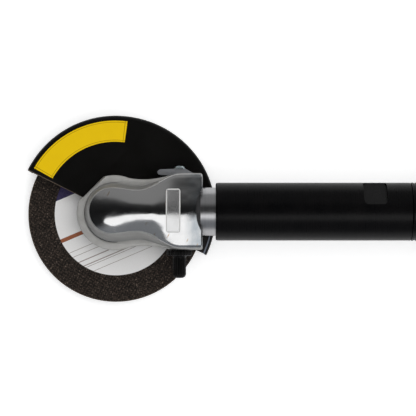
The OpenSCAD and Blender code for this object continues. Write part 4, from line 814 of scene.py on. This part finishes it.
def prism(bm, outline, low, high, place):
    """A closed block on an outline, from the level low up to high, put in its place."""
    bottom = [bm.verts.new(place @ Vector((x, y, low))) for x, y in outline]
    top = [bm.verts.new(place @ Vector((x, y, high))) for x, y in outline]
    bm.faces.new(bottom[::-1])
    bm.faces.new(top)
    for i in range(len(outline)):
        j = (i + 1) % len(outline)
        bm.faces.new((bottom[i], bottom[j], top[j], top[i]))


def cheek(side, swell):
    """The outline of the clamp's waist on one side, which runs in one soft curve from front to rear."""
    first, slim, last = 2.0, 17.6, 31.5
    points = [(last, side * 15), (first, side * 15)]
    for i in range(25):
        x = first + (last - first) * i / 24
        if x < slim:
            out = ((slim - x) / (slim - first)) ** 2 * 2.2
        else:
            out = ((x - slim) / (last - slim)) ** 1.6 * swell
        points.append((x, side * (CLAMP_WAIST_HW + out)))
    return points if side < 0 else points[::-1]


def lock_knob(made):
    """The clamp's knob: a knurled flange and a fluted grip with a rounded end."""
    r = KNOB_FLANGE_R
    t = KNOB_FLANGE_T
    nose = KNOB_NOSE_R
    end = t + KNOB_LEN
    place = Matrix.Translation((KNOB_X, KNOB_Y, KNOB_Z)) @ Matrix.Rotation(math.pi / 2, 4, "X")

    def knurl(a, height, radius):
        """26 grooves across the flange's edge."""
        return radius - (0.42 * (0.5 + 0.5 * math.cos(26 * a)) ** 2 if radius > r - 0.6 else 0)

    def flutes(a, height, radius):
        """14 grooves along the grip, which run out on its nose."""
        fluted = height > t + 1.2 and radius > 2.6
        return radius - (0.3 * (0.5 + 0.5 * math.cos(14 * a)) ** 2 if fluted else 0)

    bm = bmesh.new()
    flange = [(0, 0.6), (0, r - 0.7), (0.35, r - 0.15), (0.5, r)]
    flange += [(t - 0.6, r), (t - 0.35, r - 0.15), (t, r - 0.8), (t, 0.6)]
    turn(bm, flange, place, 312, knurl)
    grip = [(t - 0.2, 1.0), (t - 0.2, KNOB_R + 0.7), (t + 0.25, KNOB_R + 0.15)]
    grip += [(t + 1.0, KNOB_R - 0.1), (t + 1.6, KNOB_R)]
    for i in range(9):
        a = math.pi / 2 * i / 8
        grip.append((end - nose + nose * math.sin(a), KNOB_R - nose + nose * math.cos(a)))
    grip += [(end, 1.1), (end - 0.5, 0.8)]
    turn(bm, grip, place, 168, flutes)
    return build("lock_knob_turned", "lock_knob", bm, [made], "guard_lock_knob", smooth=35)


place_camera()
light_the_studio()
lay_the_floor()

# The head and its clamp
POLISHED = polished_aluminium()
FLANK = linished_aluminium()
BLASTED = blasted_aluminium()
# Left as cast in sand: a rough skin in the scoop, with its dark colour painted as shade for that recess
SHADED_CAST = worn_metal("sand_cast_aluminium_painted_shade", "#4a4a4b", "#38383a", 0.5, (0.5, 0.66), 0.5, 0.05)
# Bright steel with turning rings, for the collar
COLLAR = turned_steel("turned_bright_steel", "#d2d2d4", (1, 0, 0), (0.28, 0.32))
# Flanges and caps faced on the lathe: greyer, with rings about the wheel's axis
FLANGE = turned_steel("turned_flange_steel", "#9da0a3", (0, 0, 1))
# Pressed steel with a nickel plate: bright but soft, because the plate fills the fine marks
BRIGHT = worn_metal("nickel_plated_steel", "#b4b6ba", "#a6a8ad", 0.7, (0.34, 0.46), 0.25)
# Zinc plate: a faint blue cast and a glitter of fine crystals
ZINC = worn_metal("zinc_plated_steel", "#cfdde2", "#b9c7c9", 1.0, (0.2, 0.36))
# Ground and lapped: nearly a mirror, with the faintest grain
GROUND = worn_metal("ground_bearing_steel", "#b9bbbe", "#a6a8ab", 1.0, (0.12, 0.22), 0.3, 0.004)
# Hardened in the furnace and oiled: straw brown over grey
GEAR = worn_metal("case_hardened_gear_steel", "#8d8678", "#6f6a60", 1.0, (0.25, 0.4))
# Blackened in a hot bath: a thin dull film that lets some steel gleam through
OXIDE = worn_metal("black_oxide_steel", "#101011", "#181716", 0.6, (0.26, 0.42), 0.4, 0.02)
# Plain machined steel, wet with oil: mid grey with an even shine
PLAIN = worn_metal("oiled_machined_steel", "#8f9296", "#7c7f83", 1.0, (0.25, 0.4))
# Drawn through a die: dark grey wire with a low shine
SPRING = worn_metal("drawn_spring_steel", "#5c5e61", "#4a4c4f", 1.0, (0.28, 0.4))
# Machined brass: warm yellow, a little dulled by handling
BRASS = worn_metal("machined_brass", "#c49b4a", "#a9803a", 1.0, (0.2, 0.34))
# Powder pressed and baked: dull brown and open-grained, because it has to let air through
SINTER = worn_metal("sintered_bronze", "#8a6a43", "#6d5333", 0.7, (0.6, 0.8), 0.6, 0.15)
BARREL = anodised_aluminium()
GUARD = powder_coat()
# Sprayed paint that shrinks as it dries: a near-black skin with a coarse grain for the hand
GRIP = moulded("black_crackle_paint", "#131314", "#1c1c1d", (0.42, 0.6), 0.5, 0.05)
# Injection moulded nylon: deep red with a soft shine
RED = moulded("red_moulded_nylon", "#a3161b", "#b31d20", (0.34, 0.46))
# Paper and resin pressed hot: brown and dry
VANE = moulded("phenolic_laminate", "#7a4a24", "#8a5630", (0.5, 0.65))
# Pressed wool: grey-brown, with a deep soft grain and no shine
FELT = moulded("wool_felt", "#5b584f", "#6b675d", (0.9, 1.0), 0.3, 0.2)
# Moulded rubber: matt black
RUBBER = moulded("nitrile_rubber", "#111112", "#191919", (0.5, 0.62))

dress(COLLAR, "steel_collar")
dress(BARREL, "union_nut")
dress(OXIDE, "wheel_bolt", "guard_retaining_ring", "inlet_bushing", "spindle_key")
dress(yellow_vinyl(), "guard_decal")
dress(abrasive(), "cutting_wheel")
dress(printed_paper(), "wheel_label")
dress(FLANGE, "inner_flange", "outer_flange", "bearing_cap", "wheel_bushing")
dress(PLAIN, "spindle", "drive_coupling", "rotor", "throttle_pin", "latch_pin", "lever_pivot_pin")
dress(PLAIN, "motor_cylinder", "front_end_plate", "rear_end_plate")
dress(GROUND, "low_bearing_outer", "low_bearing_inner", "top_bearing_outer", "top_bearing_inner")
dress(GROUND, "pinion_bearing_outers", "pinion_bearing_inners", "bearing_balls", "valve_ball")
dress(GROUND, "motor_bearing_outers", "motor_bearing_inners")
dress(GEAR, "bevel_gear", "bevel_pinion")
dress(SPRING, "motor_spring_washer", "latch_spring", "inlet_screen")
dress(BRASS, "valve_seat", "valve_plug", "air_regulator")
dress(SINTER, "exhaust_silencer")
dress(VANE, "rotor_vanes")
dress(FELT, "spindle_seal")
dress(RUBBER, "inlet_o_ring")

angle_head(POLISHED, FLANK, SHADED_CAST)
head_plate(printed_foil())
barrel(BARREL)
lock_knob(OXIDE)

# The clamp's waist curves on both sides, and a slanted relief crosses its far front corner
clamp_low, clamp_high = (c.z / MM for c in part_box("guard_clamp"))
slanted = Matrix.Rotation(math.radians(135), 3, "Z")
relief = [(slanted @ Vector((x, y, 0))).to_2d() for x, y in RELIEF]
shaping = [
    ("UNION", cheek(1, 2.3), clamp_low, clamp_high),
    ("UNION", cheek(-1, 1.7), clamp_low, clamp_high),
    ("DIFFERENCE", relief, clamp_low - 1, clamp_high + 1),
]
soften("guard_clamp", "tool_body", 0.8, BLASTED, more=shaping)
soften("clamp_bar", "tool_body", 0.4, BRIGHT, reshape=slimmer)
soften("clamp_screw", "tool_body", 0.15, ZINC, reshape=slimmer)
soften("guard", "wheel_guard", 0.3, GUARD, reshape=wider)
soften("handle", "tool_body", 0.3, GRIP)
soften("throttle_lever", "lever", 0.3, BRIGHT)
soften("lock_latch", "latch", 0.3, RED)
soften("exhaust_deflector", "deflector", 0.3, GRIP)
soften("inlet_bushing", "tool_body", 0.25, OXIDE)
soften("union_nut", "tool_body", 0.2, BARREL)

# The valve's spring shortens under the ball as the lever goes down; here it is only copied with its material
# and given a mesh of its own
spring = soften("valve_spring", "tool_body", 0, SPRING)
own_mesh(spring)
